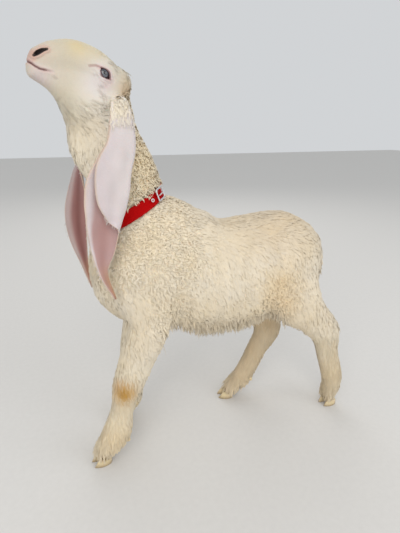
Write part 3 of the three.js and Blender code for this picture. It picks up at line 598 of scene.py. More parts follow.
def new_object(name: str, mesh: Mesh) -> Object:
    """Links a mesh into the scene as an object of that name."""
    made = bpy.data.objects.new(name, mesh)
    bpy.context.scene.collection.objects.link(made)
    return made


def shade_smooth(mesh: Mesh) -> None:
    """Shades every face smooth."""
    mesh.polygons.foreach_set("use_smooth", np.ones(len(mesh.polygons), bool))


def move_vertices(mesh: Mesh, points: Array) -> None:
    """Puts a mesh's vertices at points in metres."""
    mesh.vertices.foreach_set("co", points.astype(np.float32).ravel())


def make_mesh(name: str, points: Array, faces: Array) -> Mesh:
    """Builds a mesh of faces with one number of corners.

    Args:
        name: of the mesh.
        points: vertices in metres.
        faces: vertex indices, one row for each face.

    Returns:
        The mesh, shaded smooth.
    """
    mesh = bpy.data.meshes.new(name)
    mesh.vertices.add(len(points))
    mesh.vertices.foreach_set("co", np.ascontiguousarray(points, np.float32).ravel())
    mesh.loops.add(faces.size)
    mesh.loops.foreach_set("vertex_index", np.ascontiguousarray(faces, np.int32).ravel())
    mesh.polygons.add(len(faces))
    mesh.polygons.foreach_set("loop_start", np.arange(0, faces.size, faces.shape[1], dtype=np.int32))
    mesh.update(calc_edges=True)
    shade_smooth(mesh)
    return mesh


def set_colours(mesh: Mesh, name: str, colours: Array) -> None:
    """Stores a colour at each vertex."""
    layer = mesh.attributes.new(name, "FLOAT_COLOR", "POINT")
    filled = np.column_stack([colours, np.ones(len(colours))])
    layer.data.foreach_set("color", np.ascontiguousarray(filled, np.float32).ravel())


def set_values(mesh: Mesh, name: str, values: Array) -> None:
    """Stores a number at each vertex."""
    layer = mesh.attributes.new(name, "FLOAT", "POINT")
    layer.data.foreach_set("value", np.ascontiguousarray(values, np.float32))


def rows_of(items: Any, name: str, width: int, kind: type = np.float32) -> Array:
    """One property of every item of a mesh, as rows of the given width."""
    out = np.empty(len(items) * width, kind)
    items.foreach_get(name, out)
    return out.reshape(-1, width)


def vertices_of(mesh: Mesh) -> Array:
    """Vertex positions as rows."""
    return rows_of(mesh.vertices, "co", 3).astype(float)


def normals_of(mesh: Mesh) -> Array:
    """Vertex normals as rows."""
    return rows_of(mesh.vertex_normals, "vector", 3).astype(float)


def loft_faces(rings: int, around: int, joined: bool = False) -> Array:
    """Quads between rings of points.

    Args:
        rings: number of rings.
        around: points in each.
        joined: whether the last ring meets the first.

    Returns:
        Vertex indices, one row for each quad.
    """
    i, j = np.meshgrid(np.arange(rings if joined else rings - 1), np.arange(around), indexing="ij")
    k, n = (i + 1) % rings, (j + 1) % around
    quads = np.stack([i * around + j, i * around + n, k * around + n, k * around + j], axis=-1)
    return quads.reshape(-1, 4)


def capped(quads: Array, rings: int, around: int) -> Array:
    """Adds strips of quads that close the first and the last ring of a flat-sided loft."""
    rows = []
    for base, flip in ((0, True), ((rings - 1) * around, False)):
        for j in range(around // 2 - 1):
            quad = [base + j, base + j + 1, base + around - 2 - j, base + around - 1 - j]
            rows.append(quad[::-1] if flip else quad)
    return np.vstack([quads, rows])


def applied(made: Object) -> Object:
    """Bakes an object's modifiers into its mesh."""
    mesh = bpy.data.meshes.new_from_object(made.evaluated_get(bpy.context.evaluated_depsgraph_get()))
    old = made.data
    made.modifiers.clear()
    made.data = mesh
    bpy.data.meshes.remove(old)
    return made


def refined(node: str, name: str, levels: int, sharp: float, crease: float) -> Object:
    """A smooth copy of a faceted CAD node.

    Args:
        node: the CAD node to copy.
        name: of the new piece.
        levels: of subdivision.
        sharp: edges that turn by more than this many degrees stay crisp.
        crease: how crisp, from 0 to 1.

    Returns:
        The new piece, in the CAD node's place.
    """
    bm = bmesh.new()
    bm.from_mesh(bpy.data.objects[node].data)
    bmesh.ops.remove_doubles(bm, verts=bm.verts, dist=1e-5)
    bmesh.ops.dissolve_limit(bm, angle_limit=math.radians(1.0), verts=bm.verts, edges=bm.edges)
    threes = [face for face in bm.faces if len(face.verts) == 3]
    bmesh.ops.join_triangles(bm, faces=threes, angle_face_threshold=0.6, angle_shape_threshold=0.9)
    layer = bm.edges.layers.float.new("crease_edge")
    for edge in bm.edges:
        turns = len(edge.link_faces) == 2 and edge.calc_face_angle(0.0) > math.radians(sharp)
        edge[layer] = crease if turns else 0.0
    mesh = bpy.data.meshes.new(name)
    bm.to_mesh(mesh)
    bm.free()
    mesh.materials.clear()
    made = new_object(name, mesh)
    made.modifiers.new("smooth", "SUBSURF").levels = levels
    made = applied(made)
    shade_smooth(made.data)
    return made


# ---- shader graphs ----


def _operator(operation: str, swapped: bool = False) -> Callable[[Value, Any], Value]:
    """A method that joins a value and another, or a number, with a Math node."""

    def method(self: Value, other: Any) -> Value:
        """The result of the operation."""
        return self._math(operation, *((other, self) if swapped else (self, other)))

    return method


class Value:
    """A shader socket that takes part in Python arithmetic."""

    def __init__(self, graph: Graph, socket: bpy.types.NodeSocket) -> None:
        """Wraps an output socket of a graph."""
        self.graph = graph
        self.socket = socket

    def _math(self, operation: str, *inputs: Any) -> Value:
        """Adds a Math node."""
        return self.graph.node("ShaderNodeMath", {"operation": operation}, dict(enumerate(inputs)))

    __add__ = __radd__ = _operator("ADD")
    __sub__ = _operator("SUBTRACT")
    __rsub__ = _operator("SUBTRACT", swapped=True)
    __mul__ = __rmul__ = _operator("MULTIPLY")
    __truediv__ = _operator("DIVIDE")
    most = _operator("MAXIMUM")

    def sine(self) -> Value:
        """Its sine."""
        return self._math("SINE", self)

    def root(self) -> Value:
        """Its square root."""
        return self._math("SQRT", self)

    def step(self, low: float, high: float) -> Value:
        """A soft step from 0 at low to 1 at high."""
        limits = {"Value": self, "From Min": low, "From Max": high}
        return self.graph.node("ShaderNodeMapRange", {"interpolation_type": "SMOOTHSTEP"}, limits)


class Graph:
    """The node tree of one material with a single Principled shader."""

    def __init__(self, name: str) -> None:
        """Makes the material."""
        self.material = bpy.data.materials.new(name)
        self.material.use_nodes = True
        self.nodes = self.material.node_tree.nodes
        self.links = self.material.node_tree.links
        self.nodes.clear()

    def node(
        self, kind: str, settings: dict[str, Any] | None = None, inputs: dict[Any, Any] | None = None,
        output: int | str = 0,
    ) -> Value:
        """Adds a node.

        Args:
            kind: the node's type.
            settings: its properties.
            inputs: values or links of its sockets, by name or number.
            output: which output is wanted.

        Returns:
            That output.
        """
        made = self.nodes.new(kind)
        for key, value in (settings or {}).items():
            setattr(made, key, value)
        for key, value in (inputs or {}).items():
            socket = made.inputs[key]
            if isinstance(value, Value):
                self.links.new(value.socket, socket)
            elif isinstance(value, (tuple, list)) and len(value) == 3 and socket.type == "RGBA":
                socket.default_value = (*value, 1.0)
            else:
                socket.default_value = value
        return Value(self, made.outputs[output])

    def place(self) -> Value:
        """The point's place in the row frame, in metres."""
        return self.node("ShaderNodeTexCoord", output="Object")

    def attribute(self, name: str, colour: bool = False) -> Value:
        """A stored number or colour of the mesh."""
        return self.node("ShaderNodeAttribute", {"attribute_name": name}, output="Color" if colour else "Fac")

    def noise(
        self, scale: float, detail: float = 2.0, where: Value | None = None, roughness: float = 0.5
    ) -> Value:
        """Noise from 0 to 1.

        Args:
            scale: waves to the metre.
            detail: finer octaves.
            where: coordinates, the row frame unless given.
            roughness: strength of the finer octaves.

        Returns:
            The noise.
        """
        inputs = {"Vector": where or self.place(), "Scale": scale, "Detail": detail, "Roughness": roughness}
        return self.node("ShaderNodeTexNoise", None, inputs)

    def stretched(self, scale: Sequence[float], turn: Sequence[float] = (0, 0, 0)) -> Value:
        """The place with each axis scaled, after a turn given in degrees."""
        inputs = {"Vector": self.place(), "Rotation": tuple(map(math.radians, turn))}
        turned = self.node("ShaderNodeVectorRotate", {"rotation_type": "EULER_XYZ"}, inputs)
        return self.node("ShaderNodeVectorMath", {"operation": "MULTIPLY"}, {0: turned, 1: scale})

    def mix(self, factor: Any, a: Any, b: Any, blend: str = "MIX") -> Value:
        """Colour a turned into colour b by a factor."""
        settings = {"data_type": "RGBA", "blend_type": blend, "clamp_factor": True}
        return self.node("ShaderNodeMix", settings, {0: factor, 6: a, 7: b}, output=2)

    def grey(self, value: Value) -> Value:
        """A number as a grey colour, to multiply colours with."""
        return self.node("ShaderNodeCombineColor", None, {0: value, 1: value, 2: value})

    def bump(self, height: Value, strength: float, distance: float, under: Value | None = None) -> Value:
        """A normal bent by a height.

        Args:
            height: from 0 to 1.
            strength: how much of it shows.
            distance: height of 1, in metres.
            under: a normal to bend further.

        Returns:
            The normal.
        """
        inputs: dict[str, Any] = {"Height": height, "Strength": strength, "Distance": distance}
        if under is not None:
            inputs["Normal"] = under
        return self.node("ShaderNodeBump", None, inputs)

    def finish(self, **sockets: Any) -> Material:
        """Closes the graph with a Principled shader whose sockets are given by name."""
        inputs = {key.replace("_", " "): value for key, value in sockets.items()}
        shader = self.node("ShaderNodeBsdfPrincipled", None, inputs)
        output = self.nodes.new("ShaderNodeOutputMaterial")
        self.links.new(shader.socket, output.inputs["Surface"])
        return self.material


# ---- colours of the animal ----


@dataclass(frozen=True)
class Patch:
    """A soft-edged patch of colour on skin and coat, in drawn millimetres."""

    at: Triple
    radius: float
    colour: Triple
    strength: float
    both_sides: bool = True
    on_head: bool = False


@dataclass(frozen=True)
class Markings:
    """What colour the animal is at each place, with painted shade and light in some patches; skin and coat
    share it.
    """

    wool: tuple = (0.755, 0.665, 0.52)
    white: tuple = (0.755, 0.67, 0.515)
    face: tuple = (0.575, 0.515, 0.40)
    bare: tuple = (0.68, 0.55, 0.545)
    nose: tuple = (0.56, 0.37, 0.305)
    rim: tuple = (0.36, 0.20, 0.19)
    dust: tuple = (0.60, 0.48, 0.33)
    curl_glow: tuple = (0.08, 0.06, 0.0)
    ear: tuple = (0.66, 0.60, 0.56)
    ear_tip: tuple = (0.46, 0.31, 0.18)
    ear_root: tuple = (0.86, 0.785, 0.655)
    patches: tuple[Patch, ...] = (
        Patch((390, -90, 353), 42, (0.80, 0.62, 0.38), 0.55),
        Patch((404, -85, 312), 36, (0.80, 0.60, 0.35), 0.5),
        Patch((72, -81, 170), 24, (0.56, 0.31, 0.07), 1.0, False),
        Patch((58, -84, 188), 13, (0.54, 0.29, 0.10), 0.65, False),
        Patch((118, -50, 590), 58, (0.76, 0.62, 0.39), 0.55),
        Patch((50, -30, 615), 52, (0.86, 0.78, 0.63), 0.8),
        # Near-white cheek wool, made lighter still: partly painted light against the shadow among its
        # strands.
        Patch((125, -40, -40), 36, (0.93, 0.88, 0.78), 0.9, True, True),
        Patch((430, 0, 480), 85, (0.64, 0.51, 0.345), 0.65),
        Patch((300, 0, 480), 70, (0.69, 0.56, 0.38), 0.6),
        Patch((60, -70, 60), 60, (0.80, 0.62, 0.37), 0.5),
        Patch((560, -52, 90), 100, (0.64, 0.51, 0.325), 0.65),
        Patch((385, 55, 110), 110, (0.70, 0.54, 0.34), 0.5),
        Patch((395, 60, 130), 100, (0.56, 0.43, 0.265), 0.65, False),
        # Darker, warmer underside of the belly: painted shade.
        Patch((290, -60, 262), 80, (0.70, 0.59, 0.415), 0.55),
        Patch((375, -55, 462), 52, (0.68, 0.55, 0.39), 0.5),
        Patch((190, -78, 325), 40, (0.82, 0.68, 0.46), 0.3),
        # Brown inside the hind thighs: painted shadow in the groin, partly a real brown stain.
        Patch((446, 26, 214), 38, (0.58, 0.40, 0.20), 0.5),
        Patch((146, -34, 2), 17, (0.56, 0.38, 0.20), 0.65, True, True),
        Patch((66, -18, 40), 17, (0.64, 0.515, 0.27), 0.65, True, True),
        Patch((103, -14, 46), 24, (0.65, 0.54, 0.31), 0.5, True, True),
        Patch((98, -38, -2), 27, (0.68, 0.63, 0.62), 0.9, True, True),
        Patch((111, -34, -1), 8, (0.58, 0.43, 0.44), 0.75, True, True),
        # Pale patch over the eye: a painted highlight on the brow.
        Patch((106, -32, 24), 10, (0.74, 0.68, 0.67), 0.45, True, True),
        Patch((20, -12, -18), 18, (0.64, 0.55, 0.555), 0.85, True, True),
        Patch((18, -14, 20), 13, (0.64, 0.47, 0.40), 0.65, True, True),
        Patch((40, -20, -2), 20, (0.60, 0.53, 0.45), 0.5, True, True),
    )

    def coat(self, body: Body, points: Array) -> Array:
        """Colour of the hair at each drawn point."""
        z = points[:, 2:3]
        wool = body.wool(points)[:, None]
        face = smooth(z, 560, 640)
        short = blend(self.white, self.face, face)
        curly = body.curliness(points)[:, None] * self.curl_glow
        colour = blend(short, np.array(self.wool) * (1 + curly), wool)
        head = body.head.into(points)
        for patch in self.patches:
            where, at = head if patch.on_head else points, np.array([patch.at])
            if patch.both_sides:
                where, at = mirrored(where), mirrored(at)
            share = patch.strength * bump(distance_to(where, at), patch.radius)[:, None]
            colour = blend(colour, patch.colour, share)
        return blend(colour, self.dust, 0.45 * (1 - smooth(z, 14, 48)))

    def ear_hair(self, points: Array) -> Array:
        """Colour of the hair on the ears, rusty towards their tips."""
        height = points[:, 2:3]
        fair = blend(self.ear, self.ear_tip, 0.6 * (1 - smooth(height, 360, 440)))
        return blend(fair, self.ear_root, smooth(height, 645, 682))

    def skin(self, body: Body, points: Array) -> Array:
        """Colour of the skin at each drawn point: the coat's, lightened under the wool as painted light in
        the shaded gaps between tufts, with the features of the face.
        """
        # Under the wool the coat's colour is raised by 12 per cent: painted light in the shaded gaps between
        # the tufts.
        colour = np.minimum(self.coat(body, points) * (1 + 0.12 * body.wool(points)[:, None]), 0.93)
        head = body.head.into(points)
        on_head = (points[:, 2] > HEAD_FLOOR) & (head[:, 0] < 140)
        x, y, z = mirrored(head).T

        def tint(mask: Array, target: tuple) -> None:
            """Turns the colour towards another by a mask."""
            nonlocal colour
            colour = blend(colour, target, (mask * on_head)[:, None])

        mouth, nostril, slit = body.face.openings(head)
        tear, _ = polyline_distance(x, z, body.face.tear)
        side = smooth(y, 18, 24)
        tint(0.85 * (1 - smooth(x + 0.5 * np.abs(z - 5), 8, 17)) * smooth(z, -7, -2), self.nose)
        tint(0.75 * bump(nostril - 1, 3), self.nose)
        tint(0.55 * bump(mouth, 3.6) * (1 - smooth(x, 34, 44)), self.bare)
        tint(0.75 * (1 - smooth(slit, 1.5, 5.5)) * side, self.bare)
        tint(0.8 * bump(tear, 1.7) * side, self.rim)
        return colour


# ---- ears ----


@dataclass
class Ear:
    """A long hanging ear: a folded leaf of skin swept from its root to its tip.

    Each station is x, y, z, half width, how far the margin folds over (0 to 1) and where the opening
    faces, in degrees from -Y towards -X.
    """

    side: str
    base: Triple
    stations: tuple[tuple[float, ...], ...]
    outside: tuple = ((0.62, 0.56, 0.55), (0.56, 0.485, 0.505))
    inside: tuple = ((0.44, 0.285, 0.27), (0.38, 0.22, 0.205))
    rim: tuple = (0.66, 0.50, 0.38)
    rust: tuple = (0.42, 0.24, 0.12)
    wool: tuple = (0.80, 0.72, 0.61)
    heart: float = 0.45
    # Multiplies the outside colours: painted shade, for an ear that hangs in shadow.
    painted_shade: Triple = (1.0, 1.0, 1.0)
    cuff: float = 0.12
    free_from: float = 0.16
    thickness: float = 2.6
    rings: int = 110
    across: int = 34
    fold_scale: float = 40.0

    def _section(self, width: float, fold: float, place: Array) -> Array:
        """The leaf's line across the ear.

        Args:
            width: half width of the main blade.
            fold: how far the margin folds over.
            place: 0 at the front margin to 1 at the rear one.

        Returns:
            Rows of (across, out).
        """
        radius = (1.2 + 3.4 * min(fold * 2, 1)) * min(width / 12, 1) + 1.5
        hinge = width - radius
        back = width + hinge
        turn = math.pi * radius * (0.25 + 0.75 * min(fold * 3, 1))
        s = place * (back + turn + fold * 1.8 * width)
        bend = np.clip((s - back) / radius, 0.0, turn / radius)
        rest = np.maximum(s - back - turn, 0.0)
        end = turn / radius
        flat = np.minimum(s / back, 1.0)
        x = -width + np.minimum(s, back) + radius * np.sin(bend) + math.cos(end) * rest
        out = radius * 1.6 * (1 - flat) ** 2 + radius * (1 - np.cos(bend)) + math.sin(end) * rest
        return np.column_stack([x, out])

    def shape(self, body: Body) -> Arrays:
        """The leaf without its thickness.

        Args:
            body: the form it hangs on.

        Returns:
            Its middle surface, that surface's normals towards the opening, and the axis' directions.
        """
        root = body.head.out(np.array([self.base]))[0]
        sunk = body.head.out(np.array([[self.base[0] - 6, self.base[1] * 0.45, self.base[2] + 4]]))[0]
        facing = self.stations[0][5]
        rows = np.array([[*sunk, 5, 0.3, facing], [*root, 6.5, 0.4, facing], *self.stations], float)
        t = np.linspace(0.0, 1.0, self.rings)
        at = catmull_rom(rows[:, :3], t)
        later, sooner = np.minimum(t + 1e-4, 1), np.maximum(t - 1e-4, 0)
        ahead = unit(catmull_rom(rows[:, :3], later) - catmull_rom(rows[:, :3], sooner))
        sizes = catmull_rom(rows[:, 3:6] * [1, self.fold_scale, 1], t)
        place = np.linspace(0.0, 1.0, self.across)
        sheet = np.empty((self.rings, self.across, 3))
        for i in range(self.rings):
            turn = math.radians(sizes[i, 2])
            out = np.array([-math.sin(turn), -math.cos(turn), 0.0])
            out = unit(out - ahead[i] * (out @ ahead[i]))
            beside = -np.cross(ahead[i], out)
            line = self._section(sizes[i, 0], float(np.clip(sizes[i, 1] / self.fold_scale, 0, 1)), place)
            sheet[i] = at[i] + line[:, :1] * beside + line[:, 1:] * out
        self._clear(body, sheet, t)
        run = np.gradient(sheet, axis=1)
        faces = unit(np.cross(ahead[:, None, :], run))
        return sheet, faces, ahead

    def _clear(self, body: Body, sheet: Array, t: Array) -> None:
        """Keeps the hanging part off the neck."""
        free = t > self.free_from
        for _ in range(3):
            points = sheet[free].reshape(-1, 3)
            value, slope = slope_of(body.outline, points, 1.0)
            lack = np.maximum(self.thickness / 2 + 1.5 - value, 0.0)
            sheet[free] = (points + unit(slope) * lack[:, None]).reshape(-1, self.across, 3)

    def mesh(self, body: Body) -> Arrays:
        """The ear as a closed leaf.

        Args:
            body: the form it hangs on.

        Returns:
            Points in drawn millimetres, quads, and a colour for each point.
        """
        sheet, opening, _ = self.shape(body)
        place = np.linspace(0, 1, self.across)
        t = np.linspace(0, 1, self.rings)[:, None]
        margin = np.minimum(place, 1 - place)
        half = (self.thickness / 2) * (0.35 + 0.65 * smooth(margin, 0, 0.06))
        half = half * (1 - 0.45 * smooth(t, 0.8, 1))
        veins = Ripples(41, 26)(sheet.reshape(-1, 3) * [2.2, 2.2, 0.45]).reshape(t.size, -1)
        half = half * (1 + 0.12 * veins)
        back, front = sheet - opening * half[..., None], sheet + opening * half[..., None]
        points = np.concatenate([back, front[:, ::-1]], axis=1)
        around = points.shape[1]
        quads = capped(loft_faces(self.rings, around), self.rings, around)
        outer, inner = (self._hue(t, place, veins, side) for side in (False, True))
        colours = np.concatenate([outer, inner[:, ::-1]], axis=1)
        return points.reshape(-1, 3), quads, colours.reshape(-1, 3)

    def _hue(self, t: Array, place: Array, veins: Array, inner: bool) -> Array:
        """Colour of one face of the leaf over its length and width."""
        # The outside colours darkened by the ear's factor: painted shade on the far ear.
        pale, lilac = (np.array(hue) * self.painted_shade for hue in self.outside)
        pink, deep_pink_and_shade, rim, rust, wool = map(np.array, (*self.inside, self.rim, self.rust, self.wool))
        wide = np.broadcast_to(place, (t.size, place.size))
        cold = (0.5 + 0.5 * np.sin(6 * wide + 3 * t))[..., None]
        colour = pale + (lilac - pale) * 0.6 * cold
        if inner:
            # Deeper colour in the middle of the inside: darker pink on the near ear, painted shade on the far
            # ear.
            centre = (bump(wide - self.heart, 0.24) * smooth(t, 0.2, 0.45))[..., None]
            blush_and_shade = pink + (deep_pink_and_shade - pink) * centre
            share = (smooth(wide, self.cuff * 0.5, self.cuff * 1.5) * smooth(t, 0.12, 0.35))[..., None]
            colour = colour + (blush_and_shade - colour) * share
        colour = colour * (1 + 0.04 * veins)[..., None]
        edge = np.maximum(1 - smooth(wide, 0, 0.045), smooth(wide, 0.965, 1))[..., None]
        colour = colour + (rim - colour) * edge * 0.85
        tip = smooth(t, 0.86, 0.97)[..., None] * (0.35 + 0.4 * smooth(wide, 0.3, 0.8))[..., None]
        colour = colour + (rust - colour) * tip
        root = 0.9 * (1 - smooth(t, 0.15, 0.27))[..., None]
        return colour + (wool - colour) * root

    def fringe(self, body: Body, rng: Generator, count: int) -> Arrays:
        """Roots of the fine hairs along both margins.

        Args:
            body: the form it hangs on.
            rng: draws their places.
            count: how many.

        Returns:
            Roots, the ear's outward normals there, and the way the hair lies.
        """
        sheet, opening, ahead = self.shape(body)
        ring = rng.integers(int(self.rings * 0.12), self.rings - 2, count)
        front = rng.random(count) < 0.5
        column = np.where(front, 1, self.across - 2)
        outward = np.where(front[:, None], sheet[ring, 0] - sheet[ring, 2], sheet[ring, -1] - sheet[ring, -3])
        roots = sheet[ring, column] + rng.normal(0, 0.5, (count, 3))
        lie = unit(unit(outward) * 0.35 + ahead[ring] + rng.normal(0, 0.1, (count, 3)))
        seen = opening[ring, column] * np.where(front, 1.0, -1.0)[:, None]
        return roots, unit(seen + 0.5 * unit(outward)), lie

    def base_hair(self, body: Body, rng: Generator, count: int) -> Arrays:
        """Roots of the wool that runs from the head over the ear's base: as `fringe`."""
        sheet, opening, ahead = self.shape(body)
        ring = (self.rings * (0.05 + 0.21 * rng.random(count) ** 1.45)).astype(int)
        column = rng.integers(1, self.across - 1, count)
        lie = unit(ahead[ring] + rng.normal(0, 0.16, (count, 3)))
        return sheet[ring, column] + rng.normal(0, 0.4, (count, 3)), -opening[ring, column], lie


EARS = (
    Ear("left", (136, -38, -25), (
        (100, -61, 680, 11.5, 0.85, 8), (98, -73, 654, 18.5, 0.9, 0), (93, -79, 620, 23, 0.95, -4),
        (80, -82, 590, 28.5, 0.95, -2), (70, -83, 562, 34, 0.80, 2), (64, -84, 532, 32.5, 0.66, 6),
        (60, -85, 510, 28.5, 0.38, 8), (57, -86, 491, 25, 0.1, 10), (55, -87, 460, 20.5, 0, 12),
        (52, -89, 421, 8, 0, 10), (69, -87, 368, 2, 0, 8),
    )),
    # The far ear hangs in shadow: its darker inside colours and the factor that darkens its outside are
    # painted shade.
    Ear("right", (136, 38, -25), (
        (80, 57, 684, 13, 0.8, 165), (66, 64, 650, 18, 0.7, 140), (50, 66, 614, 22, 0.3, 110),
        (36, 64, 572, 26, 0.08, 80), (28, 60, 529, 29, 0, 62), (22, 56, 489, 27, 0, 50),
        (23, 49, 445, 20, 0, 42), (29, 38, 402, 9, 0, 40), (39, 23, 352, 2, 0, 40),
    ), inside=((0.34, 0.18, 0.165), (0.21, 0.085, 0.075)), heart=0.6, cuff=0.27, painted_shade=(0.725, 0.63, 0.60)),
)


# ---- skin ----


@dataclass(frozen=True)
class LidEdge:
    """The dark moist edge of one eye's lids: a thin tube that follows the slit over the eyeball."""

    body: Body
    side: int
    radius: float = 1.2
    over: float = 0.4
    count: int = 80
    around: int = 12
    hues: tuple = ((0.075, 0.036, 0.038), (0.56, 0.42, 0.43))

    def mesh(self) -> Arrays:
        """Drawn points, quads and colours."""
        face = self.body.face
        turn = ring_angles(self.count)
        along = (face.slit[0] + 0.5) * np.cos(turn)
        across = (face.slit[1] + 0.7) * np.sin(turn) * np.abs(np.sin(turn))
        c, s = math.cos(math.radians(face.slope)), math.sin(math.radians(face.slope))
        dx, dz = along * c + across * s, across * c - along * s
        dy = np.sqrt(np.maximum((face.eyeball + self.over) ** 2 - dx**2 - dz**2, 9.0))
        radial = np.column_stack([dx, dy, dz])
        line = np.array(face.eye) + radial
        run = unit(np.roll(line, -1, axis=0) - np.roll(line, 1, axis=0))
        high = unit(radial - run * (radial * run).sum(1, keepdims=True))
        wide = np.cross(run, high)
        wide *= np.sign((wide * (line - line.mean(0))).sum(1).mean())
        phi = ring_angles(self.around)[None, :, None]
        tube = line[:, None] + self.radius * (np.cos(phi) * wide[:, None] + np.sin(phi) * high[:, None])
        tube[..., 1] *= self.side
        share = np.broadcast_to(smooth(np.cos(phi), -0.1, 0.8), (*tube.shape[:2], 1))
        hues = blend(*self.hues, share)
        quads = loft_faces(self.count, self.around, joined=True)
        return self.body.head.out(tube.reshape(-1, 3)), quads, hues.reshape(-1, 3)


@dataclass(frozen=True)
class SkinFinish:
    """Thin pink-white skin under fine hair, with dark lips and edges of the lids, and nostrils darkened by
    painted shade.
    """

    lip: tuple = (0.13, 0.05, 0.042)
    lip_edge: tuple = (0.40, 0.22, 0.20)
    # Near-black inside of the nostrils: painted shade in the hollow.
    inside: tuple = (0.012, 0.005, 0.004)
    rim: tuple = (0.30, 0.17, 0.17)

    def material(self) -> Material:
        """Builds the finish."""
        g = Graph("skin")
        colour = g.attribute("marking", colour=True)
        hair = g.noise(1.0, 3.0, g.stretched((230, 900, 900), (0, 15, -15)), 0.6)
        pores = g.noise(520, 2.0)
        soft = g.noise(38, 2.0)
        base = g.mix(1.0, colour, g.grey(0.86 + hair * 0.12 + soft * 0.10 + pores * 0.06), "MULTIPLY")
        ragged = pores * 0.5 - 0.25
        mouth, nostril, slit = (g.attribute(name) + ragged for name in ("mouth", "nostril", "slit"))
        base = g.mix((1.0 - mouth.step(1.2, 3.4)) * 0.45, base, self.lip_edge)
        base = g.mix((1.0 - mouth.step(0.6, 1.6)) * 0.85, base, self.lip)
        # The insides of the nostrils take the near-black colour: painted shade.
        base = g.mix(1.0 - nostril.step(0.1, 1.2), base, self.inside)
        base = g.mix((1.0 - slit.step(0.4, 1.7)) * 0.9, base, self.rim)
        normal = g.bump(hair, 0.35, 0.0007)
        normal = g.bump(pores, 0.25, 0.0004, normal)
        return g.finish(
            Base_Color=base, Roughness=0.62 + pores * 0.2, Normal=normal, Subsurface_Weight=0.12,
            Subsurface_Radius=(0.006, 0.003, 0.002), Subsurface_Scale=1.0, Specular_IOR_Level=0.35,
            Sheen_Weight=0.15, Sheen_Roughness=0.4,
        )


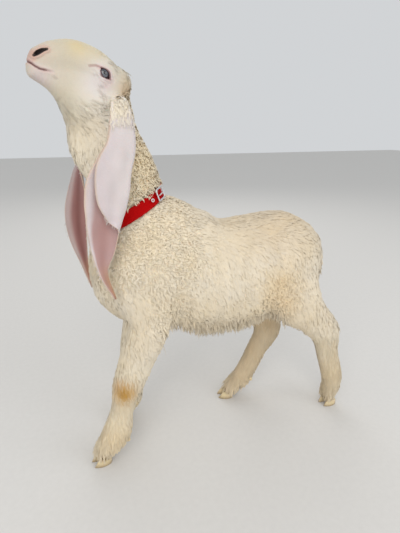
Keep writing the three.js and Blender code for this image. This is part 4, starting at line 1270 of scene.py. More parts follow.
@dataclass
class Skin:
    """One skin over the whole animal, ears included, inside the solids by the depth of the coat."""

    body: Body
    markings: Markings
    voxel: float = 5.2
    swell: float = 0.7
    split_bands: tuple = ((14.0, 130.0), (14.0, 56.0), (9.0, -1.0))
    flesh: tuple[str, ...] = (
        "head", "neck", "trunk", "tail", "fore_left_upper", "fore_left_lower", "fore_right_upper",
        "fore_right_lower", "hind_left_upper", "hind_left_lower", "hind_right_upper", "hind_right_lower",
    )
    ears: tuple[str, ...] = ("ear_left", "ear_right")

    def build(self) -> Object:
        """Makes, colours and unwraps the skin."""
        made = self._rough()
        self._refine_head(made.data)
        points = self._settled(made.data)
        move_vertices(made.data, to_row(points))
        colours = [self.markings.skin(self.body, points)]
        self.body_points = len(points)
        bm = bmesh.new()
        bm.from_mesh(made.data)
        grown = [ear.mesh(self.body) for ear in EARS] + [LidEdge(self.body, side).mesh() for side in (-1, 1)]
        for part_points, quads, hues in grown:
            part = make_mesh("part", to_row(part_points), quads)
            bm.from_mesh(part)
            bpy.data.meshes.remove(part)
            colours.append(hues)
        bm.to_mesh(made.data)
        bm.free()
        set_colours(made.data, "marking", np.vstack(colours))
        extra = np.full(sum(map(len, colours)) - len(points), NOWHERE)
        near = points[:, 2] > HEAD_FLOOR
        for name, far in self.body.face.marks(self.body.head.into(points)).items():
            set_values(made.data, name, np.concatenate([np.where(near, far, NOWHERE), extra]))
        shade_smooth(made.data)
        made.data.materials.append(SkinFinish().material())
        self._unwrap(made)
        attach(made, "root")
        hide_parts(*self.flesh, *self.ears)
        return made

    def _rough(self) -> Object:
        """Joins the flesh solids over the cuts between them."""
        bm = bmesh.new()
        for node in self.flesh:
            bm.from_mesh(bpy.data.objects[node].data)
        bmesh.ops.remove_doubles(bm, verts=bm.verts, dist=1e-5)
        bm.normal_update()
        mesh = bpy.data.meshes.new("skin")
        bm.to_mesh(mesh)
        bm.free()
        mesh.materials.clear()
        move_vertices(mesh, vertices_of(mesh) + normals_of(mesh) * self.swell * MM)
        made = new_object("skin", mesh)
        remesh = made.modifiers.new("voxels", "REMESH")
        remesh.mode = "VOXEL"
        remesh.voxel_size = self.voxel * MM
        made = applied(made)
        self._keep_largest(made.data)
        return made

    def _keep_largest(self, mesh: Mesh) -> None:
        """Drops loose shells left inside by the cuts."""
        bm = bmesh.new()
        bm.from_mesh(mesh)
        left = set(bm.verts)
        shells = []
        while left:
            edge = [left.pop()]
            shell = set(edge)
            while edge:
                found = {vert for link in edge.pop().link_edges for vert in link.verts} - shell
                shell |= found
                edge += found
            left -= shell
            shells.append(shell)
        shells.sort(key=len)
        LOG.info("skin shells: %s", [len(s) for s in shells])
        for shell in shells[:-1]:
            bmesh.ops.delete(bm, geom=list(shell), context="VERTS")
        bm.to_mesh(mesh)
        bm.free()

    def _refine_head(self, mesh: Mesh) -> None:
        """Splits the faces near the eyes and the muzzle, once for each of `split_bands`."""
        bm = bmesh.new()
        bm.from_mesh(mesh)
        for around_eye, back_to in self.split_bands:
            where = to_drawn(np.array([v.co for v in bm.verts]))
            head = self.body.head.into(where)
            mouth, nostril, slit = self.body.face.openings(head)
            eyes = (slit < around_eye) & (np.abs(head[:, 1]) > 16.0)
            muzzle = (head[:, 0] < back_to) & (head[:, 2] > -60.0)
            fine = ((mouth < 8.0) | (nostril < 7.0)) & (head[:, 0] < 48.0)
            chosen = (eyes | muzzle | fine) & (where[:, 2] > HEAD_FLOOR + 10.0)
            bm.verts.ensure_lookup_table()
            edges = [e for e in bm.edges if chosen[e.verts[0].index] and chosen[e.verts[1].index]]
            bmesh.ops.subdivide_edges(bm, edges=edges, cuts=1, use_grid_fill=True)
            bm.verts.index_update()
        bm.to_mesh(mesh)
        bm.free()

    def _settled(self, mesh: Mesh) -> Array:
        """The vertices, relaxed and moved onto the skin's form."""
        points = to_drawn(vertices_of(mesh))
        a, b = rows_of(mesh.edges, "vertices", 2, np.int32).T

        def gathered(values: Array | None = None) -> Array:
            """At each vertex, how many neighbours it has, or the sum of their values."""
            total = len(points)
            if values is None:
                return np.bincount(a, minlength=total) + np.bincount(b, minlength=total)
            return np.bincount(a, values[b], total) + np.bincount(b, values[a], total)

        count = np.maximum(gathered(), 1)[:, None]

        def relaxed(p: Array, share: float) -> Array:
            """Each vertex moved towards the middle of its neighbours."""
            return p + share * (np.stack([gathered(p[:, i]) for i in range(3)], 1) / count - p)

        uncut = partial(self.body.skin, cut=False)
        for most in (7.0, 4.0, 2.0):
            points = settle(uncut, points, 2, most)
            points = relaxed(relaxed(points, 0.6), 0.4)
        points = settle(uncut, points, 3, 1.2)
        muzzle = (points[:, 2] > HEAD_FLOOR) & (self.body.head.into(points)[:, 0] < 50.0)
        for share in (0.3, 0.2):
            points[muzzle] = settle(self.body.skin, points[muzzle], 4, 0.8)
            points[muzzle] = relaxed(points, share)[muzzle]
        points[muzzle] = settle(self.body.skin, points[muzzle], 3, 0.6)
        return points

    def _unwrap(self, made: Object) -> None:
        """Unwraps the skin's own shape for the bake and for the roots of the coat."""
        made.data.uv_layers.new(name=BAKE_MAP)
        bpy.context.view_layer.objects.active = made
        bpy.ops.object.mode_set(mode="EDIT")
        bpy.ops.mesh.select_all(action="SELECT")
        bpy.ops.uv.smart_project(angle_limit=math.radians(66), island_margin=0.002)
        bpy.ops.object.mode_set(mode="OBJECT")


# ---- coat ----


@dataclass
class Roots:
    """Where tufts grow: drawn points, skin normals, places on the skin's unwrap, and the way they lie."""

    points: Array
    normals: Array
    places: Array
    way: Array | None = None

    def chosen(self, keep: Array) -> Roots:
        """The roots that a mask or index picks."""
        return Roots(self.points[keep], self.normals[keep], self.places[keep])


class Lie(Enum):
    """How a kind of hair lies."""

    WOOL = "curled and crimped"
    SLEEK = "flat along the body"
    HANGING = "free, straight down"
    MARGIN = "out from a thin edge"


@dataclass(frozen=True)
class TuftKind:
    """Shape of one kind of tuft, in millimetres, with its place in the coat.

    `chance` says how likely it grows at a place, `rise` is the share of the coat's depth it climbs,
    `softness` how far its shading follows the skin, `tone` how much its brightness varies, `crimp` the
    length of a wave and `tuck` how far its tip turns back to the skin.
    """

    name: str
    lie: Lie
    chance: Callable[[Body, Array], Array]
    spacing: float
    strands: int
    segments: int
    length: float
    width: float
    spread: float
    rise: float
    slot: str = "fleece"
    softness: float = 0.7
    tone: float = 0.04
    crimp: float = 13.0
    tuck: float = 0.22

    def steps(self) -> Array:
        """Place of each ring along a strand, from 0 to 1."""
        return np.linspace(0.0, 1.0, self.segments + 1)[None, None, :, None]

    def under(self) -> Array:
        """1 for the low wide strand under a tuft of wool, 0 for the others."""
        return (np.arange(self.strands) == 0)[None, :, None, None] * (self.lie is Lie.WOOL)


@dataclass
class Locks:
    """What sets the tufts of one kind apart, with a row for each: place, curl, axes and sizes."""

    points: Array
    normals: Array
    curly: Array
    run: Array
    way: Array
    beside: Array
    up: Array
    size: Array
    length: Array
    rise: Array


@dataclass(frozen=True)
class CoatFinish:
    """Hair, coloured tuft by tuft, with fine fibres along each strand."""

    name: str
    fibres: float = 26.0

    def material(self) -> Material:
        """Builds the finish."""
        g = Graph(self.name)
        colour = g.attribute("marking", colour=True)
        across = g.attribute("across")
        lines = (across * self.fibres + g.noise(260, 2.0) * 7.0).sine() * 0.5 + 0.5
        base = g.mix(1.0, colour, g.grey(lines * 0.08 + 0.94), "MULTIPLY")
        return g.finish(
            Base_Color=base, Roughness=0.9, Specular_IOR_Level=0.2, Normal=g.bump(lines, 0.35, 0.00007),
            Sheen_Weight=0.12, Sheen_Roughness=0.45,
        )


def woolly(body: Body, points: Array) -> Array:
    """Where wool grows, but not under the collar."""
    return smooth(body.wool(points), 0.12, 0.5) * (np.abs(body.above_collar(points)) > 12.0)


def curled(body: Body, points: Array) -> Array:
    """Where the wool is curly."""
    return woolly(body, points) * smooth(body.curliness(points), 0.2, 0.4)


def fleecy(body: Body, points: Array) -> Array:
    """Where the wool lies smooth."""
    return woolly(body, points) * (1 - smooth(body.curliness(points), 0.2, 0.4))


def fringed(body: Body, points: Array) -> Array:
    """Where long hair hangs: belly, elbows and behind the thighs."""
    x, y, z = points.T
    tail = smooth(x, 505, 520) * smooth(z, 300, 330)
    elbow = bump(distance_to(points, (172, 0, 300), (36, 90, 26)), 0.8) * (np.abs(y) > 45)
    thigh = bump(distance_to(points, (398, 0, 262), (30, 90, 26)), 0.8) * (np.abs(y) > 30)
    return np.clip(body.belly(points) * 1.1 + tail * 0.3 + elbow * 0.8 + thigh * 0.7, 0.0, 1.0)


def wispy(body: Body, points: Array) -> Array:
    """Where longer soft hair grows: cheeks, throat, crown and the roots of the ears."""
    head = body.head.into(points)
    x, _, z = head.T
    jaw = bump((z + 46) / 26, 1) * smooth(-z, 22, 36) * smooth(x, 60, 95)
    jaw = jaw * (1 - smooth(x, 150, 185))
    throat = bump(distance_to(points, (52, 0, 640), (50, 60, 50)), 0.8)
    throat = throat * (body.above_collar(points) > 30)
    crown = bump(distance_to(head, (136, 0, 20), (22, 34, 22)), 0.9)
    share = np.clip(jaw * 0.65 + throat * 0.6 + crown * 0.15 + 1.2 * body.near_ear(points), 0, 1)
    _, _, slit = body.face.openings(head)
    return share * (points[:, 2] > 560) * smooth(slit, 12, 17)


def shanks(body: Body, points: Array) -> Array:
    """Where the short white hair of the legs grows."""
    return (1 - smooth(body.wool(points), 0.3, 0.9)) * (points[:, 2] < 330.0) * (points[:, 2] > 40.0)


def socks(body: Body, points: Array) -> Array:
    """The shaggy hair from fetlock to claws."""
    return (1 - smooth(points[:, 2], 42, 72)) * (points[:, 2] > 11.0)


def facial(body: Body, points: Array) -> Array:
    """The short hair of the face, sparing eyes, nostrils and lips."""
    head = body.head.into(points)
    x, y, z = mirrored(head).T
    mouth, nostril, slit = body.face.openings(head)
    tip = x + 0.5 * np.abs(z - 5) < 12.0
    bare = (slit < 8.0) & (y > 16) | (nostril < 3.5) | ((mouth < 2.8) & (x < 38)) | tip
    cheek = 0.7 * smooth(-z, 24, 44) * smooth(x, 30, 60)
    lively = np.clip(0.7 * smooth(x, 84, 116) + cheek, 0.0, 1.0)
    return (1 - smooth(body.wool(points), 0.3, 0.9)) * (points[:, 2] > 580.0) * ~bare * lively


def each(values: Array) -> Array:
    """A number for each tuft, ready to meet strands, rings and coordinates."""
    return values[:, None, None, None]


def anywhere(body: Body, points: Array) -> Array:
    """Everywhere it is asked for."""
    return np.ones(len(points))


CURL = TuftKind(
    "curl", Lie.WOOL, curled, 4.9, 4, 4, 12.5, 1.75, 2.3, 1.0, softness=0.8, tuck=0.35,
)
FLEECE = TuftKind(
    "fleece", Lie.WOOL, fleecy, 5.0, 3, 3, 18.0, 2.7, 2.7, 1.0, softness=0.94, tone=0.015, tuck=0.8,
)
FRINGE = TuftKind("fringe", Lie.HANGING, fringed, 5.4, 3, 4, 19.0, 1.4, 2.6, 0.6, tone=0.06)
WISP = TuftKind(
    "wisp", Lie.SLEEK, wispy, 4.3, 3, 4, 17.0, 1.6, 2.4, 1.0, softness=0.88, tone=0.03, tuck=0.35,
)
SHANK = TuftKind(
    "shank", Lie.SLEEK, shanks, 4.7, 2, 3, 13.0, 1.8, 2.2, 0.8,
    slot="shank", softness=0.93, tone=0.02, tuck=0.75,
)
SOCK = TuftKind(
    "sock", Lie.SLEEK, socks, 4.5, 3, 3, 15.0, 1.35, 2.0, 1.05, slot="shank", softness=0.82, tone=0.04,
)
FACE = TuftKind(
    "face", Lie.SLEEK, facial, 3.8, 3, 3, 7.0, 0.6, 1.8, 0.35,
    slot="face", softness=1.0, tone=0.015, tuck=0.8,
)
MARGIN = TuftKind("ear_margin", Lie.MARGIN, anywhere, 1.0, 2, 3, 4.6, 0.4, 1.2, 0.1, slot="ear", tone=0.04)
EAR_BASE = TuftKind(
    "ear_base", Lie.MARGIN, anywhere, 1.0, 3, 3, 13.0, 1.25, 2.4, 0.5,
    slot="ear", softness=0.9, tone=0.02, tuck=0.5,
)


@dataclass
class Coat:
    """Wool and hair as solid tufts over the skin, each a bundle of tapering three-sided strands."""

    body: Body
    markings: Markings
    skin: Object
    body_points: int
    seed: int = 20
    most_faces: int = 190_000
    margin_tufts: int = 420
    ear_base_tufts: int = 760
    kinds: tuple[TuftKind, ...] = (CURL, FLEECE, FRINGE, WISP, SHANK, SOCK, FACE)
    bands: tuple = (
        ("neck", -math.inf), ("chest", 0.0), ("shoulder", 118.0), ("elbow", 165.0), ("ribs", 205.0),
        ("flank", 262.0), ("loin", 320.0), ("rump", 385.0), ("thigh", 440.0),
    )
    ground: float = 1.6
    over_strap: float = 5.2
    along_head: Triple = (1.0, 0.0, -0.28)

    def build(self) -> list[Object]:
        """Makes every coat piece."""
        self._read_skin()
        rng = np.random.default_rng(self.seed)
        made = []
        for kind in self.kinds:
            made += self._grown(kind, self._scatter(kind, rng), rng)
        made += self._grown(MARGIN, self._on_ears(rng, Ear.fringe, self.margin_tufts), rng)
        return made + self._grown(EAR_BASE, self._on_ears(rng, Ear.base_hair, self.ear_base_tufts), rng)

    def _grown(self, kind: TuftKind, roots: Roots, rng: Generator) -> list[Object]:
        """Grows one kind of tuft from its roots, in one piece or several."""
        tufts = self._tufts(kind, roots, rng)
        finish = CoatFinish(f"coat_{kind.name}").material()
        shares = self._split(kind, roots)
        return [self._piece(f"coat_{name}", kind, tufts, rows, finish) for name, rows in shares]

    def _read_skin(self) -> None:
        """Takes triangles, normals and unwrap of the body's part of the skin."""
        mesh = self.skin.data
        mesh.calc_loop_triangles()
        corners, loops = (rows_of(mesh.loop_triangles, name, 3, np.int32) for name in ("vertices", "loops"))
        places = rows_of(mesh.uv_layers[BAKE_MAP].data, "uv", 2)
        points = to_drawn(vertices_of(mesh))
        own = corners.max(1) < self.body_points
        self.corners, self.corner_normals = points[corners[own]], normals_of(mesh)[corners[own]]
        self.corner_places = places[loops[own]]
        self.tree = BVHTree.FromPolygons(points.tolist(), corners.tolist())
        self.tree_places = places[loops].mean(1)

    def _scatter(self, kind: TuftKind, rng: Generator) -> Roots:
        """Draws evenly spread roots for one kind of tuft."""
        a, b, c = self.corners.transpose(1, 0, 2)
        area = np.linalg.norm(np.cross(b - a, c - a), axis=1) / 2
        count = rng.poisson(area * 4.0 / kind.spacing**2)
        tri = np.repeat(np.arange(len(area)), count)
        rng.shuffle(tri)
        u, v = rng.random((2, len(tri)))
        flip = u + v > 1
        u, v = np.where(flip, 1 - u, u), np.where(flip, 1 - v, v)
        weights = np.stack([1 - u - v, u, v], axis=1)[..., None]
        roots = Roots(
            (self.corners[tri] * weights).sum(1),
            unit((self.corner_normals[tri] * weights).sum(1)),
            (self.corner_places[tri] * weights).sum(1),
        )
        cells = np.floor(roots.points / kind.spacing).astype(np.int64)
        keys = cells @ np.array([73856093, 19349663, 83492791])
        _, first = np.unique(keys, return_index=True)
        first = rng.permutation(first)
        roots = roots.chosen(first)
        return roots.chosen(rng.random(len(first)) < kind.chance(self.body, roots.points))

    def _on_ears(self, rng: Generator, draw: Callable[..., tuple], count: int) -> Roots:
        """Roots on both ears, drawn by one of the ear's methods."""
        parts = [draw(ear, self.body, rng, count) for ear in EARS]
        points, normals, way = (np.concatenate(rows) for rows in zip(*parts))
        faces = [self.tree.find_nearest(Vector(p))[2] for p in points]
        return Roots(points, normals, self.tree_places[faces], way)

    def lie_of(self, points: Array) -> Array:
        """The way the coat runs over the body, not yet laid on the skin."""
        body, (x, y, z) = self.body, points.T
        on_head = smooth(z, 628, 665) * (1 - smooth(body.head.into(points)[:, 0], 120, 150))
        beside_ear = np.column_stack([np.full(len(y), -0.15), 0.45 * np.sign(y), np.full(len(y), -1.0)])
        way = (0.45, 0, -0.9)
        for other, share in (
            ((1.0, 0, -0.35), smooth(z, 400, 470)),
            ((0.15, 0, -1.0), smooth(x, 440, 500)),
            ((0.08, 0, -1.0), 1 - smooth(z, 200, 300)),
            ((0.12, 0, -1.0), smooth(body.above_collar(points), -15, 25)),
            (body.head.direction(np.array(self.along_head)), on_head),
            (beside_ear, smooth(body.near_ear(points), 0.1, 0.45)),
        ):
            way = blend(way, other, share[:, None])
        return way

    def _locks(self, kind: TuftKind, roots: Roots, rng: Generator) -> Locks:
        """Lays the tufts of one kind along the skin and draws their sizes, as `_tufts`."""
        body, points, normals, n = self.body, roots.points, roots.normals, len(roots.points)
        curly = body.curliness(points) if kind.lie is Lie.WOOL else np.zeros(n)
        run = self.lie_of(points) if roots.way is None else roots.way
        if kind.lie is Lie.HANGING:
            run = np.array([0.2, 0.0, -1.0]) + rng.normal(0, 0.09, (n, 3))
            into = np.minimum((run * normals).sum(1) - 0.1, 0.0)
            way = unit(run - normals * into[:, None])
        else:
            way = unit(run - normals * (run * normals).sum(1, keepdims=True))
        beside = unit(np.cross(normals, way))
        swirl = Ripples(3, 32.0)(points) * (0.12 + 0.45 * curly) + rng.normal(0, 1, n) * (0.12 + 0.3 * curly)
        c, s = np.cos(swirl)[:, None], np.sin(swirl)[:, None]
        way, beside = way * c + beside * s, beside * c - way * s
        size = np.exp(rng.normal(0, 0.15, n)) * (1 + 0.15 * Ripples(5, 45.0)(points))
        uneven = np.clip(1 + rng.normal(-0.06, 1, n) * (0.05 + 0.09 * curly), 0.7, 1.15)
        rise = body.coat_depth(points) * kind.rise * uneven
        length = kind.length * size
        if kind.lie is Lie.WOOL:
            above = body.above_collar(points)
            length *= (1 - 0.18 * curly) * (0.6 + 0.4 * smooth(body.wool(points), 0.2, 0.9))
            length *= np.where((above > 0) & (above < 20), 0.78, 1.0)
        elif kind is FACE:
            length *= 0.55 + 0.6 * smooth(body.head.into(points)[:, 0], 25, 120)
        elif kind is SOCK:
            length *= 0.6 + 0.4 * (1 - smooth(points[:, 2], 30, 70))
        return Locks(points, normals, curly, run, way, beside, np.cross(way, beside), size, length, rise)

    def _centre_lines(self, kind: TuftKind, locks: Locks, rng: Generator) -> Array:
        """Draws the middle line of every strand.

        Args:
            kind: shape of the tufts.
            locks: their places, axes and sizes.
            rng: draws the strands' differences.

        Returns:
            Points (tuft, strand, ring).
        """
        points, n, strands, s = locks.points, len(locks.points), kind.strands, kind.steps()
        turn = rng.uniform(0, FULL_TURN, (n, strands))
        far = kind.spread * np.sqrt(rng.random((n, strands)))
        reach = each(locks.length) * rng.uniform(0.8, 1.15, (n, strands, 1, 1))
        hook = locks.curly * (1.2 * Ripples(8, 24.0)(points) + rng.normal(0, 1.2, n)) + rng.normal(0, 0.2, n)
        crimped = np.clip(0.12 + 1.7 * locks.curly, 0, 1)
        waves = FULL_TURN * reach / kind.crimp
        middle = (s[:, :, 1:] + s[:, :, :-1]) / 2
        phase = each(FULL_TURN * ((points * locks.run).sum(1) / kind.crimp) + 1.4 * Ripples(14, 60.0)(points))
        bend = phase + waves * middle + rng.normal(0, 0.35, (n, strands, 1, 1))
        heading = each(hook) * middle**1.25 + each(0.85 * crimped) * np.sin(bend)

        def walked(steps: Array, offset: Array) -> Array:
            """Where a strand has got to at each ring, from its own place in the tuft."""
            start = np.zeros((n, strands, 1, 1))
            gone = np.concatenate([start, np.cumsum(steps * (reach / kind.segments), axis=2)], axis=2)
            return gone + offset[..., None, None] * (1.0 - 0.45 * s)

        along = walked(np.cos(heading), far * np.cos(turn))
        side = walked(np.sin(heading), far * np.sin(turn))
        lift = each(locks.rise) * (1 - 0.5 * kind.under()) * (1 - (1 - s) ** 2.6)
        lift = lift * (1 - kind.tuck * s**2.2) - 1.0 * (1 - s) ** 3
        above = self.body.above_collar(points)
        over = self.over_strap * (above > 0) * (1 - smooth(above, 16, 30)) * (points[:, 2] > 300)
        lift = lift + each(over) * (1 - (1 - s) ** 2)
        lift = lift + each(0.35 * crimped) * np.sin(phase + waves * s + 1.2) * s
        way, beside, up = (axis[:, None, None, :] for axis in (locks.way, locks.beside, locks.up))
        return points[:, None, None, :] + along * way + side * beside + lift * up

    def _tufts(self, kind: TuftKind, roots: Roots, rng: Generator) -> dict[str, Array]:
        """Shapes every tuft of one kind.

        Args:
            kind: its shape.
            roots: where the tufts grow.
            rng: draws their differences.

        Returns:
            Points (tuft, strand, ring, corner) with their normals, the tips, and a colour for each tuft.
        """
        locks = self._locks(kind, roots, rng)
        centre = self._centre_lines(kind, locks, rng)
        points, s = roots.points, kind.steps()
        flow = unit(np.gradient(centre, axis=2))
        across = unit(np.cross(locks.up[:, None, None, :], flow))
        out = np.cross(flow, across)
        wide = kind.width * each(np.minimum(locks.size, 1.2)) * (0.72 + 0.9 * s * (1 - s)) * (1 - 0.7 * s**3)
        wide = wide * (1 + 0.5 * kind.under())
        half, sunk = across * wide / 2, out * wide * 0.12
        corners = [centre - half - sunk, centre + half - sunk, centre + out * wide * 0.2]
        own = [out * 0.6 - across * 0.8, out * 0.6 + across * 0.8, out]
        shape = np.stack([corner[:, :, :-1] for corner in corners], axis=3)
        soft = kind.softness * roots.normals[:, None, None, :]
        outer = [soft + (1 - kind.softness) * facing[:, :, :-1] for facing in own]
        facing = np.stack([*outer, -out[:, :, :-1], -out[:, :, :-1]], axis=3)
        tip = centre[:, :, -1]
        for part in (shape, tip):
            part[..., 2] = np.maximum(part[..., 2], self.ground)
        tone = 1 + rng.normal(0, kind.tone, (len(points), 1)) + 0.03 * Ripples(9, 22.0)(points)[:, None]
        warmth = rng.normal(0, 0.012, (len(points), 1)) + 0.02 * Ripples(19, 70.0)(points)[:, None]
        warm = 1 + warmth * np.array([[-0.3, 0.3, 1.6]])
        on_ear = kind.lie is Lie.MARGIN
        base = self.markings.ear_hair(points) if on_ear else self.markings.coat(self.body, points)
        return {
            "body": shape,
            "tip": tip,
            "facing": unit(facing),
            "tip_facing": np.stack([roots.normals[:, None, :] + 0 * tip, -out[:, :, -1]], axis=2),
            "hue": np.clip(base * tone * warm, 0, 0.95),
            "places": roots.places,
        }

    def _split(self, kind: TuftKind, roots: Roots) -> list[tuple[str, Array]]:
        """Shares out one kind's tufts so that no piece has too many faces."""
        per_tuft = kind.strands * ((kind.segments - 1) * 6 + 3)
        rows = np.arange(len(roots.points))
        if len(rows) * per_tuft < self.most_faces:
            return [(kind.name, rows)]
        neck = self.body.above_collar(roots.points) > 0
        place = np.where(neck, -1.0, np.maximum(roots.points[:, 0], 0.1))
        out = []
        for i, (name, start) in enumerate(self.bands):
            end = self.bands[i + 1][1] if i + 1 < len(self.bands) else math.inf
            mine = rows[(place >= start) & (place < end)]
            if len(mine):
                out.append((f"{kind.name}_{name}", mine))
        return out

    def _piece(
        self, name: str, kind: TuftKind, tufts: dict[str, Array], rows: Array, finish: Material
    ) -> Object:
        """Joins some of the tufts into one piece.

        Args:
            name: of the piece.
            kind: of the tufts; not used.
            tufts: what `_tufts` gave.
            rows: which of them.
            finish: their material.

        Returns:
            The piece.
        """
        n, strands, rings = tufts["body"][rows].shape[:3]
        count = n * strands
        per = rings * 3 + 1

        def joined(ringed: str, end: str) -> Array:
            """Rows for every vertex or normal, strand by strand."""
            sides = tufts[ringed][rows].reshape(count, -1, 3)
            return np.concatenate([sides, tufts[end][rows].reshape(count, -1, 3)], axis=1)

        quads, ends = [], []
        for j in range(3):
            k = (j + 1) % 3
            quads += [[r * 3 + j, r * 3 + k, r * 3 + 3 + k, r * 3 + 3 + j] for r in range(rings - 1)]
            ends.append([(rings - 1) * 3 + j, (rings - 1) * 3 + k, rings * 3])
        tris = np.array([t for a, b, c, d in quads for t in ((a, b, c), (a, c, d))] + ends)
        faces = (tris[None] + (np.arange(count) * per)[:, None, None]).reshape(-1, 3)
        mesh = make_mesh(name, to_row(joined("body", "tip").reshape(-1, 3)), faces)
        along = np.append(np.repeat(np.arange(rings) / rings, 3), 1.0)
        across = np.append(np.tile([0.0, 1.0, 0.5], rings), 0.5)
        set_values(mesh, "across", np.tile(across, count))
        set_colours(mesh, "marking", np.repeat(tufts["hue"][rows], strands * per, axis=0))
        patch = np.column_stack([across, along])[tris.ravel()] * BAKE_PATCH
        home = np.repeat(tufts["places"][rows], strands, axis=0)
        places = (home[:, None] + patch[None]).reshape(-1)
        mesh.uv_layers.new(name=BAKE_MAP).data.foreach_set("uv", places.astype(np.float32))
        mesh.materials.append(finish)
        under = ~((tris % 3 == 2) & (tris < rings * 3)).any(1)
        ring, corner = tris // 3, tris % 3
        pick = np.where(tris == rings * 3, rings * 5 + under[:, None], ring * 5 + corner + 3 * under[:, None])
        normals = joined("facing", "tip_facing")[:, pick.ravel()].reshape(-1, 3)
        mesh.normals_split_custom_set(normals.astype(np.float32))
        made = new_object(name, mesh)
        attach(made, "root")
        LOG.info("%s: %d tufts, %d faces", name, n, len(faces))
        return made


# ---- eyes, horn, collar ----


@dataclass
class Eye:
    """A wet eye: dark slate iris, lying pupil, and a cornea that stands out a little."""

    body: Body
    side: int
    pupil: tuple[float, float] = (4.4, 2.3)
    pupil_lift: float = 14
    iris: float = 7.6
    cornea: float = 0.7
    cornea_angle: float = 0.55
    inset: float = 0.35

    def build(self) -> Object:
        """Makes the eyeball in the place of its CAD node, its faces in the same order on each run."""
        name = "left" if self.side < 0 else "right"
        bm = bmesh.new()
        bmesh.ops.create_uvsphere(bm, u_segments=48, v_segments=36, radius=1.0)
        bm.verts.index_update()
        faces = []
        for face in bm.faces:
            row = [vert.index for vert in face.verts]
            first = row.index(min(row))
            faces.append(row[first:] + row[:first])
        ball = bpy.data.meshes.new(f"eyeball_{name}")
        ball.from_pydata([vert.co[:] for vert in bm.verts], [], sorted(faces))
        bm.free()
        face = self.body.face
        rays = vertices_of(ball)
        gaze = unit(self.body.head.direction(np.array([-0.16, self.side, 0.10])))
        slope = math.radians(face.slope - self.pupil_lift)
        long = self.body.head.direction(np.array([math.cos(slope), 0, -math.sin(slope)]))
        long = unit(long - gaze * (long @ gaze))
        tall = np.cross(gaze, long)
        turned = rays @ np.stack([long, tall, gaze])
        aside = np.arccos(np.clip(rays[:, 2], -1, 1))
        radius = face.eyeball - self.inset + self.cornea * bump(aside, self.cornea_angle)
        centre = self.body.head.out(np.array([[face.eye[0], self.side * face.eye[1], face.eye[2]]]))
        move_vertices(ball, to_row(centre + turned * radius[:, None]))
        set_values(ball, "eye_long", rays[:, 0] * face.eyeball)
        set_values(ball, "eye_tall", rays[:, 1] * face.eyeball)
        shade_smooth(ball)
        ball.materials.append(self._finish(name))
        made = new_object(ball.name, ball)
        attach(made, "root")
        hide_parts(f"eye_{name}")
        return made

    def _finish(self, name: str) -> Material:
        """Pupil, iris with its dark edge, and the white."""
        g = Graph(f"eyeball_{name}")
        long, tall = g.attribute("eye_long"), g.attribute("eye_tall")
        far = (long * long + tall * tall).root()
        half_long, half_tall = self.pupil
        pupil = ((long / half_long) * (long / half_long) + (tall / half_tall) * (tall / half_tall)).root()
        rays = g.noise(700, 3.0)
        iris = g.mix(rays, (0.04, 0.045, 0.058), (0.16, 0.178, 0.215))
        iris = g.mix(far.step(4.8, self.iris), iris, (0.012, 0.012, 0.016))
        iris = g.mix(pupil.step(0.85, 1.08), (0.003, 0.003, 0.004), iris)
        colour = g.mix(far.step(self.iris, self.iris + 0.9), iris, (0.09, 0.04, 0.04))
        return g.finish(
            Base_Color=colour, Roughness=0.06, Coat_Weight=1.0, Coat_Roughness=0.02, Specular_IOR_Level=0.6,
        )


@dataclass(frozen=True)
class HornFinish:
    """Yellowish horn in growth rings, dusty towards the ground."""

    def material(self) -> Material:
        """Builds the finish."""
        g = Graph("horn")
        place = g.place()
        height = g.node("ShaderNodeSeparateXYZ", None, {0: place}, output="Z")
        warp = g.noise(60, 2.0)
        rings = (height * 2600.0 + warp * 9.0).sine() * 0.5 + 0.5
        streaks = g.noise(1.0, 3.0, g.stretched((900, 900, 120)), 0.6)
        dirt = (1.0 - (height + warp * 0.006).step(0.002, 0.013)) * 0.65
        colour = g.mix(streaks, (0.60, 0.47, 0.26), (0.80, 0.68, 0.45))
        colour = g.mix(rings * 0.25, colour, (0.52, 0.38, 0.20))
        colour = g.mix(dirt, colour, (0.20, 0.13, 0.075))
        normal = g.bump(rings, 0.35, 0.0004, g.bump(streaks, 0.3, 0.0003))
        return g.finish(
            Base_Color=colour, Roughness=0.42 + streaks * 0.2, Normal=normal, Subsurface_Weight=0.1,
            Subsurface_Radius=(0.004, 0.0025, 0.001), Subsurface_Scale=1.0,
        )


@dataclass
class Horn:
    """Claws and dewclaws, smoothed from their solids."""

    legs: tuple[str, ...] = tuple(LEGS)

    def build(self) -> list[Object]:
        """Makes all sixteen pieces."""
        finish = HornFinish().material()
        made = []
        for leg in self.legs:
            for place in ("inner", "outer"):
                for kind, sharp in (("claw", 50), ("dewclaw", 80)):
                    node = f"{kind}_{leg}_{place}"
                    piece = refined(node, f"horn_{node}", 2, sharp, 0.7)
                    piece.data.materials.append(finish)
                    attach(piece, "root")
                    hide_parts(node)
                    made.append(piece)
        return made


@dataclass(frozen=True)
class Place:
    """Centre and axes of a CAD solid, longest side first, in the drawn frame."""

    centre: Array
    axes: Array

    @classmethod
    def of(cls, node: str, along: Array | None = None) -> Place:
        """Where a node is, with its first axis along a given direction if one is given."""
        points = np.unique(np.round(to_drawn(vertices_of(bpy.data.objects[node].data)), 3), axis=0)
        middle = points.mean(0)
        axes = np.linalg.svd(points - middle, full_matrices=False)[2]
        if along is not None:
            first = unit(along - axes[2] * (along @ axes[2]))
            axes = np.stack([first, np.cross(axes[2], first), axes[2]])
        spans = (points - middle) @ axes.T
        return cls(middle + (spans.max(0) + spans.min(0)) / 2 @ axes, axes)


